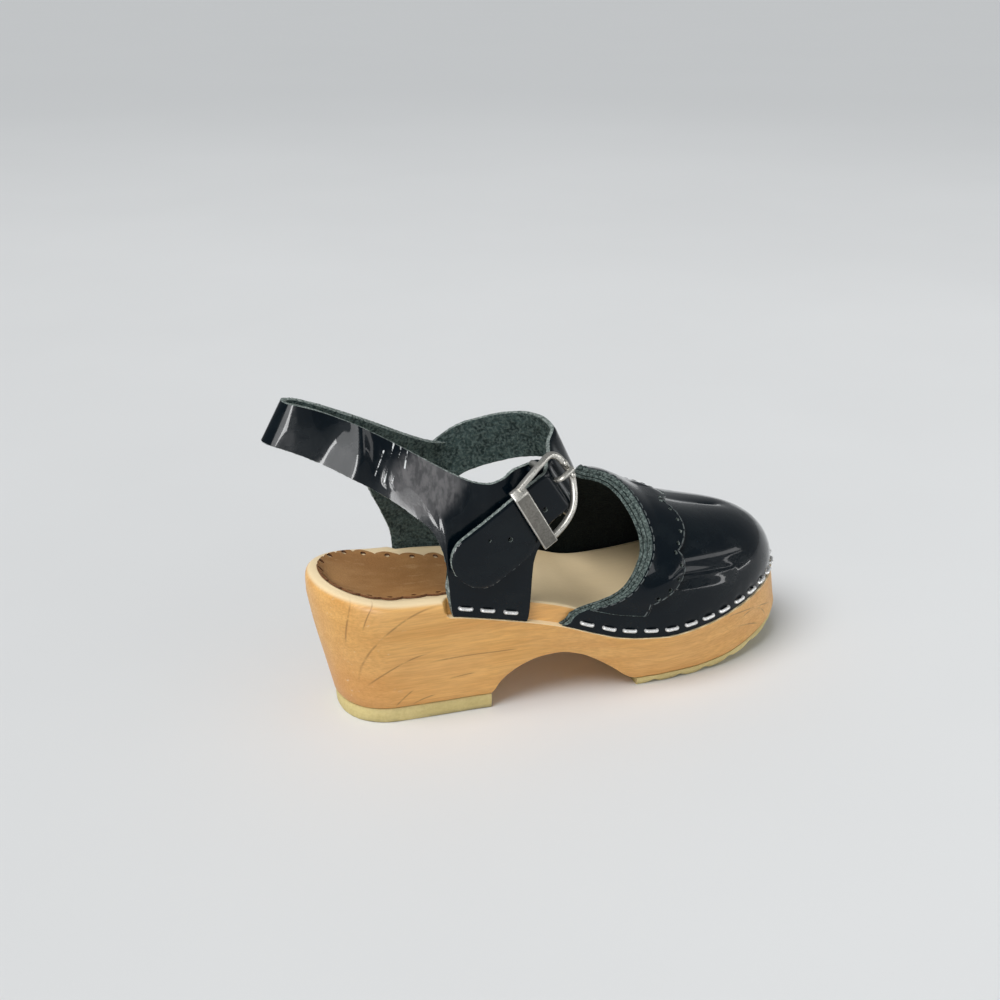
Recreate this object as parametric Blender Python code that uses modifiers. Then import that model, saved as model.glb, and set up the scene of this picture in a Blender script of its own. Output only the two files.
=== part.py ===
"""Child's clog sandal, right foot: wooden sole, stapled vamp, sling and buckled instep strap.

Lengths in the tables are millimetres on the last: x runs from the heel's back to the toe,
-y is the outer side of the foot, +y the inner side, and z rises from the floor.
"""
import math

import bmesh
import bpy
import numpy as np
from mathutils import Matrix, Vector

MM = 0.001
OUTER, INNER = -1, 1
GAP = 0.3                    # clearance that touching pieces keep

# Sole, seen from above
HEEL_BACK_X = 4.0
TOE_TIP_X = 190.5
HEEL_ROUND_X = 30.0          # the heel's round runs from the back to here
BALL_X = 128.0               # the toe's round runs from the ball to the tip
HEEL_SPINE_X = 14.0          # ends of the middle line that sections close on
TOE_SPINE_X = 162.0
HEEL_POWER = 2.1             # superellipse powers of the two rounds
TOE_POWER = {OUTER: 2.0, INNER: 2.25}
TOE_SWING = 4.8              # the tip's shift to the inner side, which grows from here over this reach
SWING_START_X, SWING_REACH = 110.0, 80.0
PLAN_ROWS = (                # x, outer half-width, inner half-width
    (30, 25.4, 25.4),
    (55, 26.0, 25.2),
    (80, 28.0, 26.0),
    (105, 32.0, 30.5),
    (128, 35.0, 34.5),
)

# Sole, seen from the side
SIDE_ROWS = (                # x, ledge that carries the leather, top edge, tuck of the bottom edge
    (4, 47.0, 54.2, 7.8),
    (15, 45.0, 51.8, 6.6),
    (30, 43.5, 49.2, 5.2),
    (48, 41.6, 47.8, 4.2),
    (62, 38.6, 45.3, 3.8),
    (75, 35.6, 42.2, 3.4),
    (88, 32.2, 38.8, 3.4),
    (101, 27.7, 34.2, 4.2),
    (110, 25.0, 31.5, 5.6),
    (119, 23.7, 30.2, 6.8),
    (129, 23.1, 29.6, 7.0),
    (148, 24.3, 30.9, 5.4),
    (160, 26.0, 32.6, 3.0),
    (172, 27.7, 34.3, 0.8),
    (182, 29.0, 35.6, -1.4),
    (190, 30.2, 36.8, -2.4),
)
BOTTOM_ROWS = (              # x, underside of the wood
    (4, 6.2), (63.6, 6.2), (64.8, 6.8), (66, 9.0), (70, 13.2), (75.5, 16.6), (82, 18.8), (89.5, 19.6),
    (97, 17.8), (103, 14.6), (110, 9.5), (115, 5.4), (118, 3.7), (120, 3.3), (144, 3.3),
    (156, 4.6), (168, 7.0), (180, 10.4), (196, 15.5),
)
DISH_ROWS = ((4, 2.5), (30, 3.4), (60, 3.0), (90, 2.6), (128, 4.6), (160, 4.0), (190, 2.5))
INSTEP_RISE = 2.6            # extra height of the inner edge under the arch
INSTEP_RISE_X, INSTEP_RISE_REACH = 84.0, 26.0
LOWER_EDGE_RISE = 0.9        # height of the eased edge under the side
REBATE_DEPTH = 2.9
REBATE_START_X = {OUTER: 45.0, INNER: 39.4}
REBATE_RAMP = 2.6
BODY_STATIONS = (30, 35, 39.4, 42, 45, 47.6, 52, 57, 61, 63.6, 64.8, 66, 68, 70, 73, 76, 82, 89, 96, 103,
                 108, 112, 115, 118, 120, 124, 128)
HEEL_STEPS, TOE_STEPS = 8, 12

# Rubber under heel and forefoot
HEEL_LIFT_HEIGHT = 5.9
HEEL_LIFT_FRONT_X = 63.6
OUTSOLE_THICKNESS = 3.0
OUTSOLE_BACK_X = 120.0
GROOVE_PITCH, GROOVE_WIDTH, GROOVE_DEPTH = 11.0, 2.4, 1.0
GROOVE_FIRST_X, GROOVE_COUNT = 127.0, 6

# Heel pad
PAD_THICKNESS = 1.0
PAD_FRONT_X = 68.0
PAD_TAPER_X = 52.0
# x, margin to the pad's notches on the outer side, and on the inner side
PAD_MARGIN_ROWS = ((4, 6.0, 6.0), (20, 6.2, 6.6), (34, 6.6, 9.0), (48, 7.2, 12.0))
PAD_SCALLOP = 1.7
PAD_SCALLOP_COUNT = 9        # on each side
PAD_SCALLOP_STEPS = 5

# Vamp
VAMP_THICKNESS = 2.0
VAMP_INSET = 0.6             # leather stands this far inside the ledge's edge
VAMP_WALL_RISE, VAMP_WALL_SHARE = 2.0, 0.06
BODY_DOME_POWER, TOE_DOME_POWER = 2.3, 1.95
RIDGE_ROWS = ((86, 81.0), (104, 77.2), (115, 75.2), (130, 67.2), (145, 60.8), (158, 56.8), (162, 55.4))
THROAT_ROWS = (              # share of the way up from ledge to ridge, x of the throat's edge: outer, inner side
    (0.0, 88.2, 86.6), (0.08, 91.6, 89.4), (0.133, 98.0, 93.0), (0.186, 106.1, 98.0), (0.245, 112.2, 102.4),
    (0.345, 117.2, 106.2), (0.45, 120.2, 109.6), (0.54, 121.0, 110.8), (0.635, 120.6, 110.8), (0.73, 119.8, 110.0),
    (0.82, 118.8, 108.8), (0.90, 117.4, 107.8), (0.96, 115.4, 108.4), (1.0, 112.4, 112.4),
)
VAMP_STEPS_UP, VAMP_STEPS_ALONG = 13, 18

# Scalloped overlay on the throat
OVERLAY_THICKNESS, OVERLAY_GAP = 1.5, 0.42
LOBE_ROWS = (                # share down from the ridge: start, end; front edge's station: start, end; bulge
    (-0.127, 0.127, 1.112, 1.112, 0.122),
    (0.127, 0.529, 1.112, 1.060, 0.062),
    (0.529, 0.825, 1.060, 0.929, 0.068),
    (0.825, 0.875, 0.929, 0.910, 0.004),
)
LOBE_STEPS, OVERLAY_STEPS_ALONG = 7, 4

# Buckle, seated on its centre bar; along points to the curved end, out away from the foot
BUCKLE_BAR = (85.4, -21.6, 82.2)
BUCKLE_LEAN, BUCKLE_YAW = math.radians(32.0), math.radians(6.0)
WIRE_RADIUS, BAR_RADIUS = 1.25, 1.1
BUCKLE_HALF_WIDTH = 12.6
FRAME_ROWS = (               # along, shares of half-width on the lower and upper side, out
    (-10.2, 0.98, 0.88, 6.0),
    (-4.0, 1.0, 0.96, 5.1),
    (1.0, 1.0, 1.0, 4.4),
    (3.6, 0.97, 0.97, 4.0),
    (5.6, 0.74, 0.74, 3.7),
    (6.6, 0.40, 0.40, 3.55),
    (7.0, 0.0, 0.0, 3.5),
)
FRAME_UP = 1.5               # the wire's shift up from the strap's middle
BAR_ROWS = (                 # up, out: the bar drops below the frame so that the strap passes over it
    (14.1, 4.5), (13.8, 2.4), (13.2, 0.5), (12.4, 0.0), (-9.6, 0.0), (-10.3, 0.4), (-10.9, 2.2), (-11.1, 4.5),
)
PLATE_LENGTH, PLATE_WIDTH, PLATE_THICKNESS = 26.0, 5.2, 1.3
PLATE_ALONG, PLATE_UP, PLATE_OUT = -10.2, -0.8, 6.15
PRONG_RADIUS = 0.85
PRONG_UP = 4.4               # the prong sits above the middle of the bar
PRONG_ROWS = ((1.4, 4.3), (2.8, 5.7), (4.6, 6.2), (7.0, 6.0), (8.1, 5.5))
EYE_RADIUS = 2.9             # leather end wrapped round the bar
EYE_LOW, EYE_HIGH = -9.3, 11.8
EYE_MIDDLE, EYE_LENGTH = (EYE_LOW + EYE_HIGH) / 2, EYE_HIGH - EYE_LOW
EYE_SLOT = 3.4               # notch for the prong

# Sling with its two tabs: outer face, lower edge and upper edge, from the buckle to the heel's back
STRAP_THICKNESS = 1.9
SLING_ROWS = (               # lower x, y, z; upper x, y, z; outward bulge at half height
    (83.8, 23.4, 67.6, 73.0, 21.9, 91.6, 0.4),
    (78.3, 26.0, 58.8, 67.8, 22.9, 88.9, 1.0),
    (75.2, 27.0, 36.0, 63.5, 22.8, 87.8, 1.6),
    (62.0, 25.8, 39.0, 59.0, 21.8, 88.4, 1.7),
    (49.0, 25.3, 41.9, 54.0, 19.9, 90.3, 1.7),
    (47.6, 25.2, 52.5, 49.0, 17.7, 93.0, 1.4),
    (46.8, 24.0, 62.5, 43.5, 15.0, 96.3, 1.1),
    (43.8, 21.6, 72.0, 37.0, 12.0, 100.3, 0.8),
    (36.6, 17.8, 79.5, 29.5, 9.2, 104.7, 0.5),
    (27.0, 13.6, 86.8, 21.0, 6.7, 109.3, 0.3),
    (13.0, 8.6, 95.5, 11.5, 5.2, 113.8, 0.2),
    (0.0, 5.4, 101.9, 4.5, 4.6, 116.4, 0.1),
    (-6.0, 3.5, 104.3, 0.6, 3.3, 117.4, 0.0),
    (-7.8, 0.0, 104.9, -0.6, 0.0, 117.7, 0.0),
)
TAB_ROWS = (2, 3, 4)         # rows whose lower end stands on the ledge
INNER_TAB_SHIFT = -6.0       # the inner tab stands further back
INNER_SHIFT_SHARES = (1, 1, 1, 1, 1.1, 1.05, 1.5, 1.75, 1.2, 0.6, 0.2, 0, 0, 0)
SLING_STEPS, SLING_STEPS_UP = 2, 4

# Instep strap: middle line from its root on the inner tab to the fold at the front
INSTEP_HALF_WIDTH = 9.2
INSTEP_ROOT_ROWS = ((53.0, 75.0, 6.0), (60.0, 80.0, 10.0))      # x, z, lean; y is the tab's inner face
INSTEP_ARCH_ROWS = (         # x, y, z, lean of the width from upright
    (68.0, 20.2, 85.2, 13.0), (76.5, 16.4, 88.6, 16.0), (85.0, 11.0, 91.4, 19.0), (91.4, 5.0, 92.6, 21.0),
    (94.9, -1.5, 92.4, 23.0), (95.6, -8.0, 91.4, 25.0), (92.4, -14.6, 89.0, 32.0),
)
INSTEP_BUCKLE_ROWS = (       # along and out from the buckle's bar
    (5.8, -0.7), (4.4, 0.1), (2.4, 3.1), (0.2, 4.7), (-5.0, 4.4), (-10.2, 4.1), (-16.0, 4.0), (-24.0, 3.8),
    (-33.0, 3.2), (-40.5, 2.5), (-45.0, 2.1),
)
TAIL_ROUND = 9.2
HOLE_ALONG, HOLE_LENGTH, HOLE_WIDTH = 2.0, 6.4, 3.0
INSTEP_STEPS, INSTEP_STEPS_ACROSS = 2, 2

# Staples
STAPLE_LENGTH, STAPLE_RADIUS = 5.0, 0.65
STAPLE_RISE = {"vamp": 2.4, "tab": 3.2}      # above the leather's lower edge
STAPLE_PITCH = 8.1
VAMP_STAPLE_START_X = 97.0
TAB_STAPLE_X = (53.1, 61.2, 70.0)
TAB_STAPLE_STEPS = 40        # steps between two rows of the sling, fine enough to seat a staple

HEEL_REST_X = 38.0           # the part's origin: middle of the heel's rest on the floor

COLOURS = {                  # red, green, blue, roughness, metallic
    "wood": (0.73, 0.45, 0.17, 0.55, 0.0),
    "rubber": (0.58, 0.51, 0.21, 0.70, 0.0),
    "pad_leather": (0.30, 0.14, 0.05, 0.65, 0.0),
    "patent_leather": (0.006, 0.010, 0.015, 0.22, 0.0),
    "pewter": (0.42, 0.40, 0.36, 0.35, 1.0),
    "staple_steel": (0.80, 0.80, 0.78, 0.30, 1.0),
}


def clear_scene():
    for thing in list(bpy.data.objects):
        bpy.data.objects.remove(thing, do_unlink=True)


def make_collection(name):
    collection = bpy.data.collections.new(name)
    bpy.context.scene.collection.children.link(collection)
    return collection


def make_material(name):
    red, green, blue, roughness, metallic = COLOURS[name]
    material = bpy.data.materials.new(name)
    material.use_nodes = True
    shader = material.node_tree.nodes["Principled BSDF"]
    shader.inputs["Base Color"].default_value = (red, green, blue, 1.0)
    shader.inputs["Roughness"].default_value = roughness
    shader.inputs["Metallic"].default_value = metallic
    return material


def monotone_curve(rows, column):
    """Smooth curve through a table's column against its first, which never overshoots a row."""
    xs = np.array([row[0] for row in rows], float)
    ys = np.array([row[column] for row in rows], float)
    step = np.diff(xs)
    slope = np.diff(ys) / step
    tangent = np.zeros_like(ys)
    tangent[0], tangent[-1] = slope[0], slope[-1]
    for i in range(1, len(xs) - 1):
        if slope[i - 1] * slope[i] > 0:
            tangent[i] = 2 * slope[i - 1] * slope[i] / (slope[i - 1] + slope[i])

    def value(x):
        x = min(max(x, xs[0]), xs[-1])
        i = min(int(np.searchsorted(xs, x, side="right")) - 1, len(xs) - 2)
        s = (x - xs[i]) / step[i]
        start = (1 + 2 * s) * (1 - s) ** 2 * ys[i] + s * (1 - s) ** 2 * step[i] * tangent[i]
        end = s * s * (3 - 2 * s) * ys[i + 1] + s * s * (s - 1) * step[i] * tangent[i + 1]
        return start + end
    return value


def smooth_step(x, start, end):
    s = min(max((x - start) / (end - start), 0.0), 1.0)
    return s * s * (3 - 2 * s)


def blend(a, b, share):
    return a + (b - a) * share


half_width = {OUTER: monotone_curve(PLAN_ROWS, 1), INNER: monotone_curve(PLAN_ROWS, 2)}
ledge_height = monotone_curve(SIDE_ROWS, 1)
top_edge_height = monotone_curve(SIDE_ROWS, 2)
bottom_tuck = monotone_curve(SIDE_ROWS, 3)
bottom_height = monotone_curve(BOTTOM_ROWS, 1)
dish_depth = monotone_curve(DISH_ROWS, 1)
ridge_height = monotone_curve(RIDGE_ROWS, 1)
throat_x = {OUTER: monotone_curve(THROAT_ROWS, 1), INNER: monotone_curve(THROAT_ROWS, 2)}
pad_margin = {OUTER: monotone_curve(PAD_MARGIN_ROWS, 1), INNER: monotone_curve(PAD_MARGIN_ROWS, 2)}


# The last: station u runs from -1 at the heel's back, over 0 to 1 in the body, to 2 at the toe's tip
def station(x):
    return (x - HEEL_ROUND_X) / (BALL_X - HEEL_ROUND_X)


def swing(x):
    return TOE_SWING * max(0.0, (x - SWING_START_X) / SWING_REACH) ** 2


def outline(u, side):
    if u < 0:
        angle = -u * math.pi / 2
        x = blend(HEEL_ROUND_X, HEEL_BACK_X, math.sin(angle) ** (2 / HEEL_POWER))
        y = half_width[side](HEEL_ROUND_X) * max(0.0, math.cos(angle)) ** (2 / HEEL_POWER)
        return np.array([x, side * y])
    if u <= 1:
        x = blend(HEEL_ROUND_X, BALL_X, u)
        return np.array([x, side * half_width[side](x) + swing(x)])
    angle = (u - 1) * math.pi / 2
    power = 2 / TOE_POWER[side]
    x = blend(BALL_X, TOE_TIP_X, math.sin(angle) ** power)
    y = half_width[side](BALL_X) * max(0.0, math.cos(angle)) ** power
    return np.array([x, side * y + swing(x)])


def inset_outline(u, side, inset):
    point = outline(u, side)
    if u <= -1:
        return point + np.array([inset, 0.0])
    if u >= 2:
        return point - np.array([inset, 0.0])
    step = 0.004
    along = outline(min(u + step, 2), side) - outline(max(u - step, -1), side)
    along = along / np.linalg.norm(along)
    return point + inset * side * np.array([along[1], -along[0]])


def spine(u):
    if u < 0:
        x = blend(HEEL_ROUND_X, HEEL_SPINE_X, math.sin(-u * math.pi / 2))
    elif u <= 1:
        x = blend(HEEL_ROUND_X, BALL_X, u)
    else:
        x = blend(BALL_X, TOE_SPINE_X, math.sin((u - 1) * math.pi / 2))
    return np.array([x, swing(x)])


def loop_stations():
    heel = [-1 + k / HEEL_STEPS for k in range(HEEL_STEPS)]
    body = [station(x) for x in BODY_STATIONS]
    toe = [1 + (k + 1) / TOE_STEPS for k in range(TOE_STEPS)]
    half = heel + body + toe
    return [(u, OUTER) for u in half] + [(u, INNER) for u in reversed(half[1:-1])]


# Meshes
def new_object(name, mesh, parts, parent, material):
    thing = bpy.data.objects.new(name, mesh)
    parts.objects.link(thing)
    thing.parent = parent
    mesh.materials.clear()
    mesh.materials.append(material)
    mesh.shade_smooth()
    mesh.set_sharp_from_angle(angle=math.radians(35))
    return thing


def loft_mesh(name, rows, closed=False, cap=False, outward=None):
    """Quads between rows of points; rows may close on themselves and be capped at both ends."""
    mesh = bpy.data.meshes.new(name)
    form = bmesh.new()
    lines = [[form.verts.new(Vector(point) * MM) for point in row] for row in rows]
    for low, high in zip(lines, lines[1:]):
        count = len(low)
        for k in range(count if closed else count - 1):
            after = (k + 1) % count
            form.faces.new((low[k], low[after], high[after], high[k]))
    if cap:
        form.faces.new(lines[0])
        form.faces.new(lines[-1])
    bmesh.ops.remove_doubles(form, verts=form.verts, dist=0.002 * MM)
    bmesh.ops.recalc_face_normals(form, faces=form.faces)
    if outward is not None:
        lean = sum(face.normal.dot(Vector(outward(face.calc_center_median() / MM))) for face in form.faces)
        if lean < 0:
            bmesh.ops.reverse_faces(form, faces=form.faces)
    form.to_mesh(mesh)
    form.free()
    return mesh


def solidify(thing, thickness, offset):
    shell = thing.modifiers.new("leather", "SOLIDIFY")
    shell.thickness = thickness * MM
    shell.offset = offset
    shell.use_even_offset = True
    shell.use_quality_normals = True


def boolean(thing, other, operation):
    cut = thing.modifiers.new(other.name, "BOOLEAN")
    cut.operation = operation
    cut.solver = "EXACT"
    cut.object = other


def make_guide(thing, guides):
    for collection in list(thing.users_collection):
        collection.objects.unlink(thing)
    guides.objects.link(thing)
    thing.hide_render = True
    thing.display_type = "WIRE"
    return thing


def curve_tube_mesh(name, points, radius):
    curve = bpy.data.curves.new(name, "CURVE")
    curve.dimensions = "3D"
    curve.bevel_depth = radius * MM
    curve.bevel_resolution = 2
    curve.use_fill_caps = True
    spline = curve.splines.new("POLY")
    spline.points.add(len(points) - 1)
    for knot, point in zip(spline.points, points):
        knot.co = (*(Vector(point) * MM), 1.0)
    thing = bpy.data.objects.new(name, curve)
    bpy.context.scene.collection.objects.link(thing)
    bpy.context.view_layer.update()
    evaluated = thing.evaluated_get(bpy.context.evaluated_depsgraph_get())
    mesh = bpy.data.meshes.new_from_object(evaluated)
    bpy.data.objects.remove(thing, do_unlink=True)
    form = bmesh.new()
    form.from_mesh(mesh)
    bmesh.ops.remove_doubles(form, verts=form.verts, dist=0.002 * MM)
    bmesh.ops.recalc_face_normals(form, faces=form.faces)
    form.to_mesh(mesh)
    form.free()
    return mesh


def smooth_path(rows, steps):
    """Points of a smooth curve through the rows, with a number of steps from row to row."""
    numbered = [(k, *row) for k, row in enumerate(rows)]
    curves = [monotone_curve(numbered, column) for column in range(1, len(rows[0]) + 1)]
    places = [k / steps for k in range((len(rows) - 1) * steps + 1)]
    return [tuple(curve(place) for curve in curves) for place in places]


# Sole
def instep_rise(x, side):
    if side == OUTER:
        return 0.0
    reach = (x - INSTEP_RISE_X) / INSTEP_RISE_REACH
    return INSTEP_RISE * math.exp(-reach * reach)


def sole_levels(x, side):
    """Inset and height of each ring up the sole's side, from the bottom edge to the top edge."""
    forward = smooth_step(x, REBATE_START_X[side], REBATE_START_X[side] + REBATE_RAMP)
    ledge = ledge_height(x)
    top = top_edge_height(x) + instep_rise(x, side)
    tuck = bottom_tuck(x)
    floor = bottom_height(x)
    lower = [(tuck + 0.7, floor), (tuck, floor + LOWER_EDGE_RISE)]
    lower += [(tuck * inset, blend(floor, ledge, rise)) for inset, rise in ((0.62, 0.36), (0.24, 0.70))]
    heel = [(0.1, top - 8.5), (0.0, top - 4.6), (0.2, top - 2.3), (0.9, top - 0.9), (2.1, top - 0.2),
            (4.2, top)]
    rebate = [(0.3, ledge - 1.2), (0.0, ledge), (REBATE_DEPTH, ledge), (REBATE_DEPTH + 1.0, top - 1.0),
              (REBATE_DEPTH + 1.4, top - 0.3), (REBATE_DEPTH + 2.4, top)]
    upper = [(blend(a[0], b[0], forward), blend(a[1], b[1], forward)) for a, b in zip(heel, rebate)]
    return lower + upper


def footbed_point(u, side, share):
    """Point of the footbed, from the top edge at share 0 to the middle line at share 1."""
    edge_inset, edge_height = sole_levels(outline(u, side)[0], side)[-1]
    edge = inset_outline(u, side, edge_inset)
    place = blend(edge, spine(u), share)
    middle = top_edge_height(place[0]) - dish_depth(place[0])
    fall = share * (2 - share)
    return np.array([place[0], place[1], blend(edge_height, middle, fall)])


def wooden_sole_mesh():
    loop = loop_stations()
    levels = [sole_levels(outline(u, side)[0], side) for u, side in loop]
    rings = []
    for level in range(len(levels[0])):
        ring = []
        for (u, side), rows in zip(loop, levels):
            inset, height = rows[level]
            x, y = inset_outline(u, side, inset)
            if level < 2:
                height = bottom_height(x) + LOWER_EDGE_RISE * level
            ring.append((x, y, height))
        rings.append(ring)
    under = []
    for share in (1.0, 0.66, 0.3):
        ring = []
        for (u, side), rows in zip(loop, levels):
            x, y = blend(inset_outline(u, side, rows[0][0]), spine(u), share)
            ring.append((x, y, bottom_height(x)))
        under.append(ring)
    over = [[footbed_point(u, side, share) for u, side in loop] for share in (0.14, 0.34, 0.64, 1.0)]
    return loft_mesh("wooden_sole", under + rings + over, closed=True)


def heel_lift_mesh():
    front = station(HEEL_LIFT_FRONT_X)
    half = [-1 + k / HEEL_STEPS for k in range(HEEL_STEPS)]
    half += [station(x) for x in BODY_STATIONS if x < HEEL_LIFT_FRONT_X] + [front]
    loop = [(u, OUTER) for u in half] + [(u, INNER) for u in reversed(half[1:])]
    rings = []
    for height, extra in ((0.0, 1.5), (0.9, 0.9), (HEEL_LIFT_HEIGHT, 0.6)):
        ring = []
        for u, side in loop:
            x, y = inset_outline(u, side, bottom_tuck(outline(u, side)[0]) + extra)
            ring.append((x, y, height))
        rings.append(ring)
    return loft_mesh("heel_lift", rings, closed=True, cap=True)


def groove_depth(x):
    for k in range(GROOVE_COUNT):
        off = abs(x - GROOVE_FIRST_X - k * GROOVE_PITCH)
        if off < GROOVE_WIDTH / 2:
            return GROOVE_DEPTH * min(1.0, (GROOVE_WIDTH / 2 - off) / 0.6)
    return 0.0


def outsole_half_width(side, extra):
    """Half-width of the forefoot's bottom against x."""
    stations = [0.88 + k * (2 - 0.88) / 160 for k in range(161)]
    points = [inset_outline(u, side, bottom_tuck(outline(u, side)[0]) + extra) for u in stations]
    xs = [point[0] for point in points]
    ys = [point[1] for point in points]
    return xs, ys


def forefoot_outsole_mesh():
    edges = {(side, extra): outsole_half_width(side, extra)
             for side in (OUTER, INNER) for extra in (0.6, 1.3)}
    tip_x = edges[OUTER, 1.3][0][-1] - 0.05
    xs = {OUTSOLE_BACK_X, 123.0, tip_x}
    xs |= {tip_x - drop for drop in (0.6, 1.8, 3.6, 6.0, 9.0)}
    for k in range(GROOVE_COUNT):
        middle = GROOVE_FIRST_X + k * GROOVE_PITCH
        xs |= {middle + off for off in (-GROOVE_WIDTH / 2, 0.6 - GROOVE_WIDTH / 2,
                                        GROOVE_WIDTH / 2 - 0.6, GROOVE_WIDTH / 2)}
    rows = []
    for x in sorted(place for place in xs if place <= tip_x):
        top = bottom_height(x) - GAP
        base = top - OUTSOLE_THICKNESS + groove_depth(x)
        upper = [np.interp(x, *edges[side, 0.6]) for side in (OUTER, INNER)]
        lower = [np.interp(x, *edges[side, 1.3]) for side in (OUTER, INNER)]
        middle = [blend(lower[0], lower[1], share) for share in (0.0, 0.3, 0.7, 1.0)]
        rows.append([(x, upper[0], top), (x, blend(upper[0], upper[1], 0.5), top), (x, upper[1], top)]
                    + [(x, y, base) for y in reversed(middle)])
    return loft_mesh("forefoot_outsole", rows, closed=True, cap=True)


def even_stations(front, steps):
    """Stations at even distances along the outline, from the heel's back to a front end."""
    fine = np.linspace(-1, front, 400)
    points = np.array([outline(u, OUTER) for u in fine])
    run = np.r_[0.0, np.cumsum(np.linalg.norm(np.diff(points, axis=0), axis=1))]
    return [float(np.interp(run[-1] * k / steps, run, fine)) for k in range(steps + 1)]


def heel_pad_mesh():
    """Open sheet just over the footbed, with a scalloped edge, narrowing to its front."""
    stations = even_stations(station(PAD_FRONT_X), PAD_SCALLOP_COUNT * PAD_SCALLOP_STEPS)
    loop = [(k, u, OUTER) for k, u in enumerate(stations)]
    loop += [(k, u, INNER) for k, u in reversed(list(enumerate(stations))[1:-1])]
    rows = []
    for inward in (0.0, 0.4, 1.0):
        row = []
        for k, u, side in loop:
            x, y = outline(u, side)
            wave = abs(math.sin(math.pi * k / PAD_SCALLOP_STEPS))
            margin = pad_margin[side](x) - PAD_SCALLOP * wave ** 0.7
            edge_inset = sole_levels(x, side)[-1][0]
            reach = np.linalg.norm(inset_outline(u, side, edge_inset) - spine(u))
            start = max(0.0, margin - edge_inset) / reach
            start = blend(start, 1.0, smooth_step(x, PAD_TAPER_X, PAD_FRONT_X) ** 2)
            point = footbed_point(u, side, blend(start, 1.0, inward))
            row.append(point + np.array([0, 0, GAP]))
        rows.append(row)
    return loft_mesh("heel_pad", rows, closed=True, outward=lambda place: (0, 0, 1))


# Vamp and its overlay
def vamp_point(u, side, share):
    """Outer face of the vamp, from the ledge at share 0 up to the ridge at share 1."""
    base = inset_outline(u, side, VAMP_INSET)
    foot = ledge_height(base[0]) + GAP
    if share < VAMP_WALL_SHARE:
        return np.array([base[0], base[1], foot + VAMP_WALL_RISE * share / VAMP_WALL_SHARE])
    power = 2 / blend(BODY_DOME_POWER, TOE_DOME_POWER, smooth_step(u, 1, 2))
    angle = (share - VAMP_WALL_SHARE) / (1 - VAMP_WALL_SHARE) * math.pi / 2
    x, y = blend(base, spine(u), 1 - max(0.0, math.cos(angle)) ** power)
    wall_top = foot + VAMP_WALL_RISE
    height = blend(wall_top, ridge_height(spine(u)[0]), math.sin(angle) ** power)
    return np.array([x, y, height])


def vamp_normal(u, side, share):
    step = 0.01
    low, high = max(share - step, 0.0), min(share + step, 0.995)
    back, ahead = max(u - step, 0.0), min(u + step, 1.995)
    up = vamp_point(u, side, high) - vamp_point(u, side, low)
    along = vamp_point(ahead, side, share) - vamp_point(back, side, share)
    normal = np.cross(along, up) * -side
    return normal / np.linalg.norm(normal)


def across_shares(steps):
    """Places across the foot, from the outer ledge over the ridge to the inner ledge."""
    outer = [(OUTER, k / steps) for k in range(steps)]
    inner = [(INNER, k / steps) for k in reversed(range(steps))]
    return outer + [(OUTER, 1.0)] + inner


def vamp_mesh():
    rows = []
    for k in range(VAMP_STEPS_ALONG + 1):
        row = []
        for side, share in across_shares(VAMP_STEPS_UP):
            share = share ** 1.15
            u = blend(station(throat_x[side](share)), 2.0, k / VAMP_STEPS_ALONG)
            row.append(vamp_point(u, side, share))
        rows.append(row)
    return loft_mesh("vamp", rows, outward=lambda place: (place[0] - 120, place[1], place[2] - 20))


def overlay_front(side, down):
    """Station of the lobes' front edge, which lies as far from the throat on the inner side as on the outer."""
    slant = station(throat_x[OUTER](1 - down)) - station(throat_x[side](1 - down))
    for start, end, start_u, end_u, bulge in LOBE_ROWS:
        if start <= down <= end:
            share = (down - start) / (end - start)
            return blend(start_u, end_u, share) + bulge * max(0.0, math.sin(math.pi * share)) ** 0.7 - slant
    return LOBE_ROWS[-1][3] - slant


def overlay_mesh():
    half = []
    for start, end, *_ in LOBE_ROWS:
        start = max(start, 0.0)
        half += [blend(start, end, k / LOBE_STEPS) for k in range(LOBE_STEPS)]
    half.append(LOBE_ROWS[-1][1])
    places = [(OUTER, down) for down in reversed(half)] + [(INNER, down) for down in half[1:]]
    rows = []
    for k in range(OVERLAY_STEPS_ALONG + 1):
        row = []
        for side, down in places:
            share = 1 - down
            u = blend(station(throat_x[side](share)), overlay_front(side, down), k / OVERLAY_STEPS_ALONG)
            lift = OVERLAY_GAP * vamp_normal(u, side, min(share, 0.985))
            row.append(vamp_point(u, side, share) + lift)
        rows.append(row)
    return loft_mesh("throat_overlay", rows, outward=lambda place: (place[0] - 120, place[1], place[2] - 20))


# Straps
def buckle_axes():
    """Directions along the strap, up its width and out from the foot at the buckle."""
    along = Vector((math.cos(BUCKLE_LEAN), 0, math.sin(BUCKLE_LEAN)))
    up = Vector((-math.sin(BUCKLE_LEAN), 0, math.cos(BUCKLE_LEAN)))
    side = Vector((0, 1, 0))
    out = along * math.sin(BUCKLE_YAW) - side * math.cos(BUCKLE_YAW)
    along = along * math.cos(BUCKLE_YAW) + side * math.sin(BUCKLE_YAW)
    return along, up, out


def buckle_place(along_by, up_by, out_by):
    along, up, out = buckle_axes()
    return np.array(Vector(BUCKLE_BAR) + along * along_by + up * up_by + out * out_by)


def buckle_matrix():
    along, up, out = buckle_axes()
    turn = Matrix((along, up, out)).transposed().to_4x4()
    return Matrix.Translation(Vector(BUCKLE_BAR) * MM) @ turn


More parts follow.
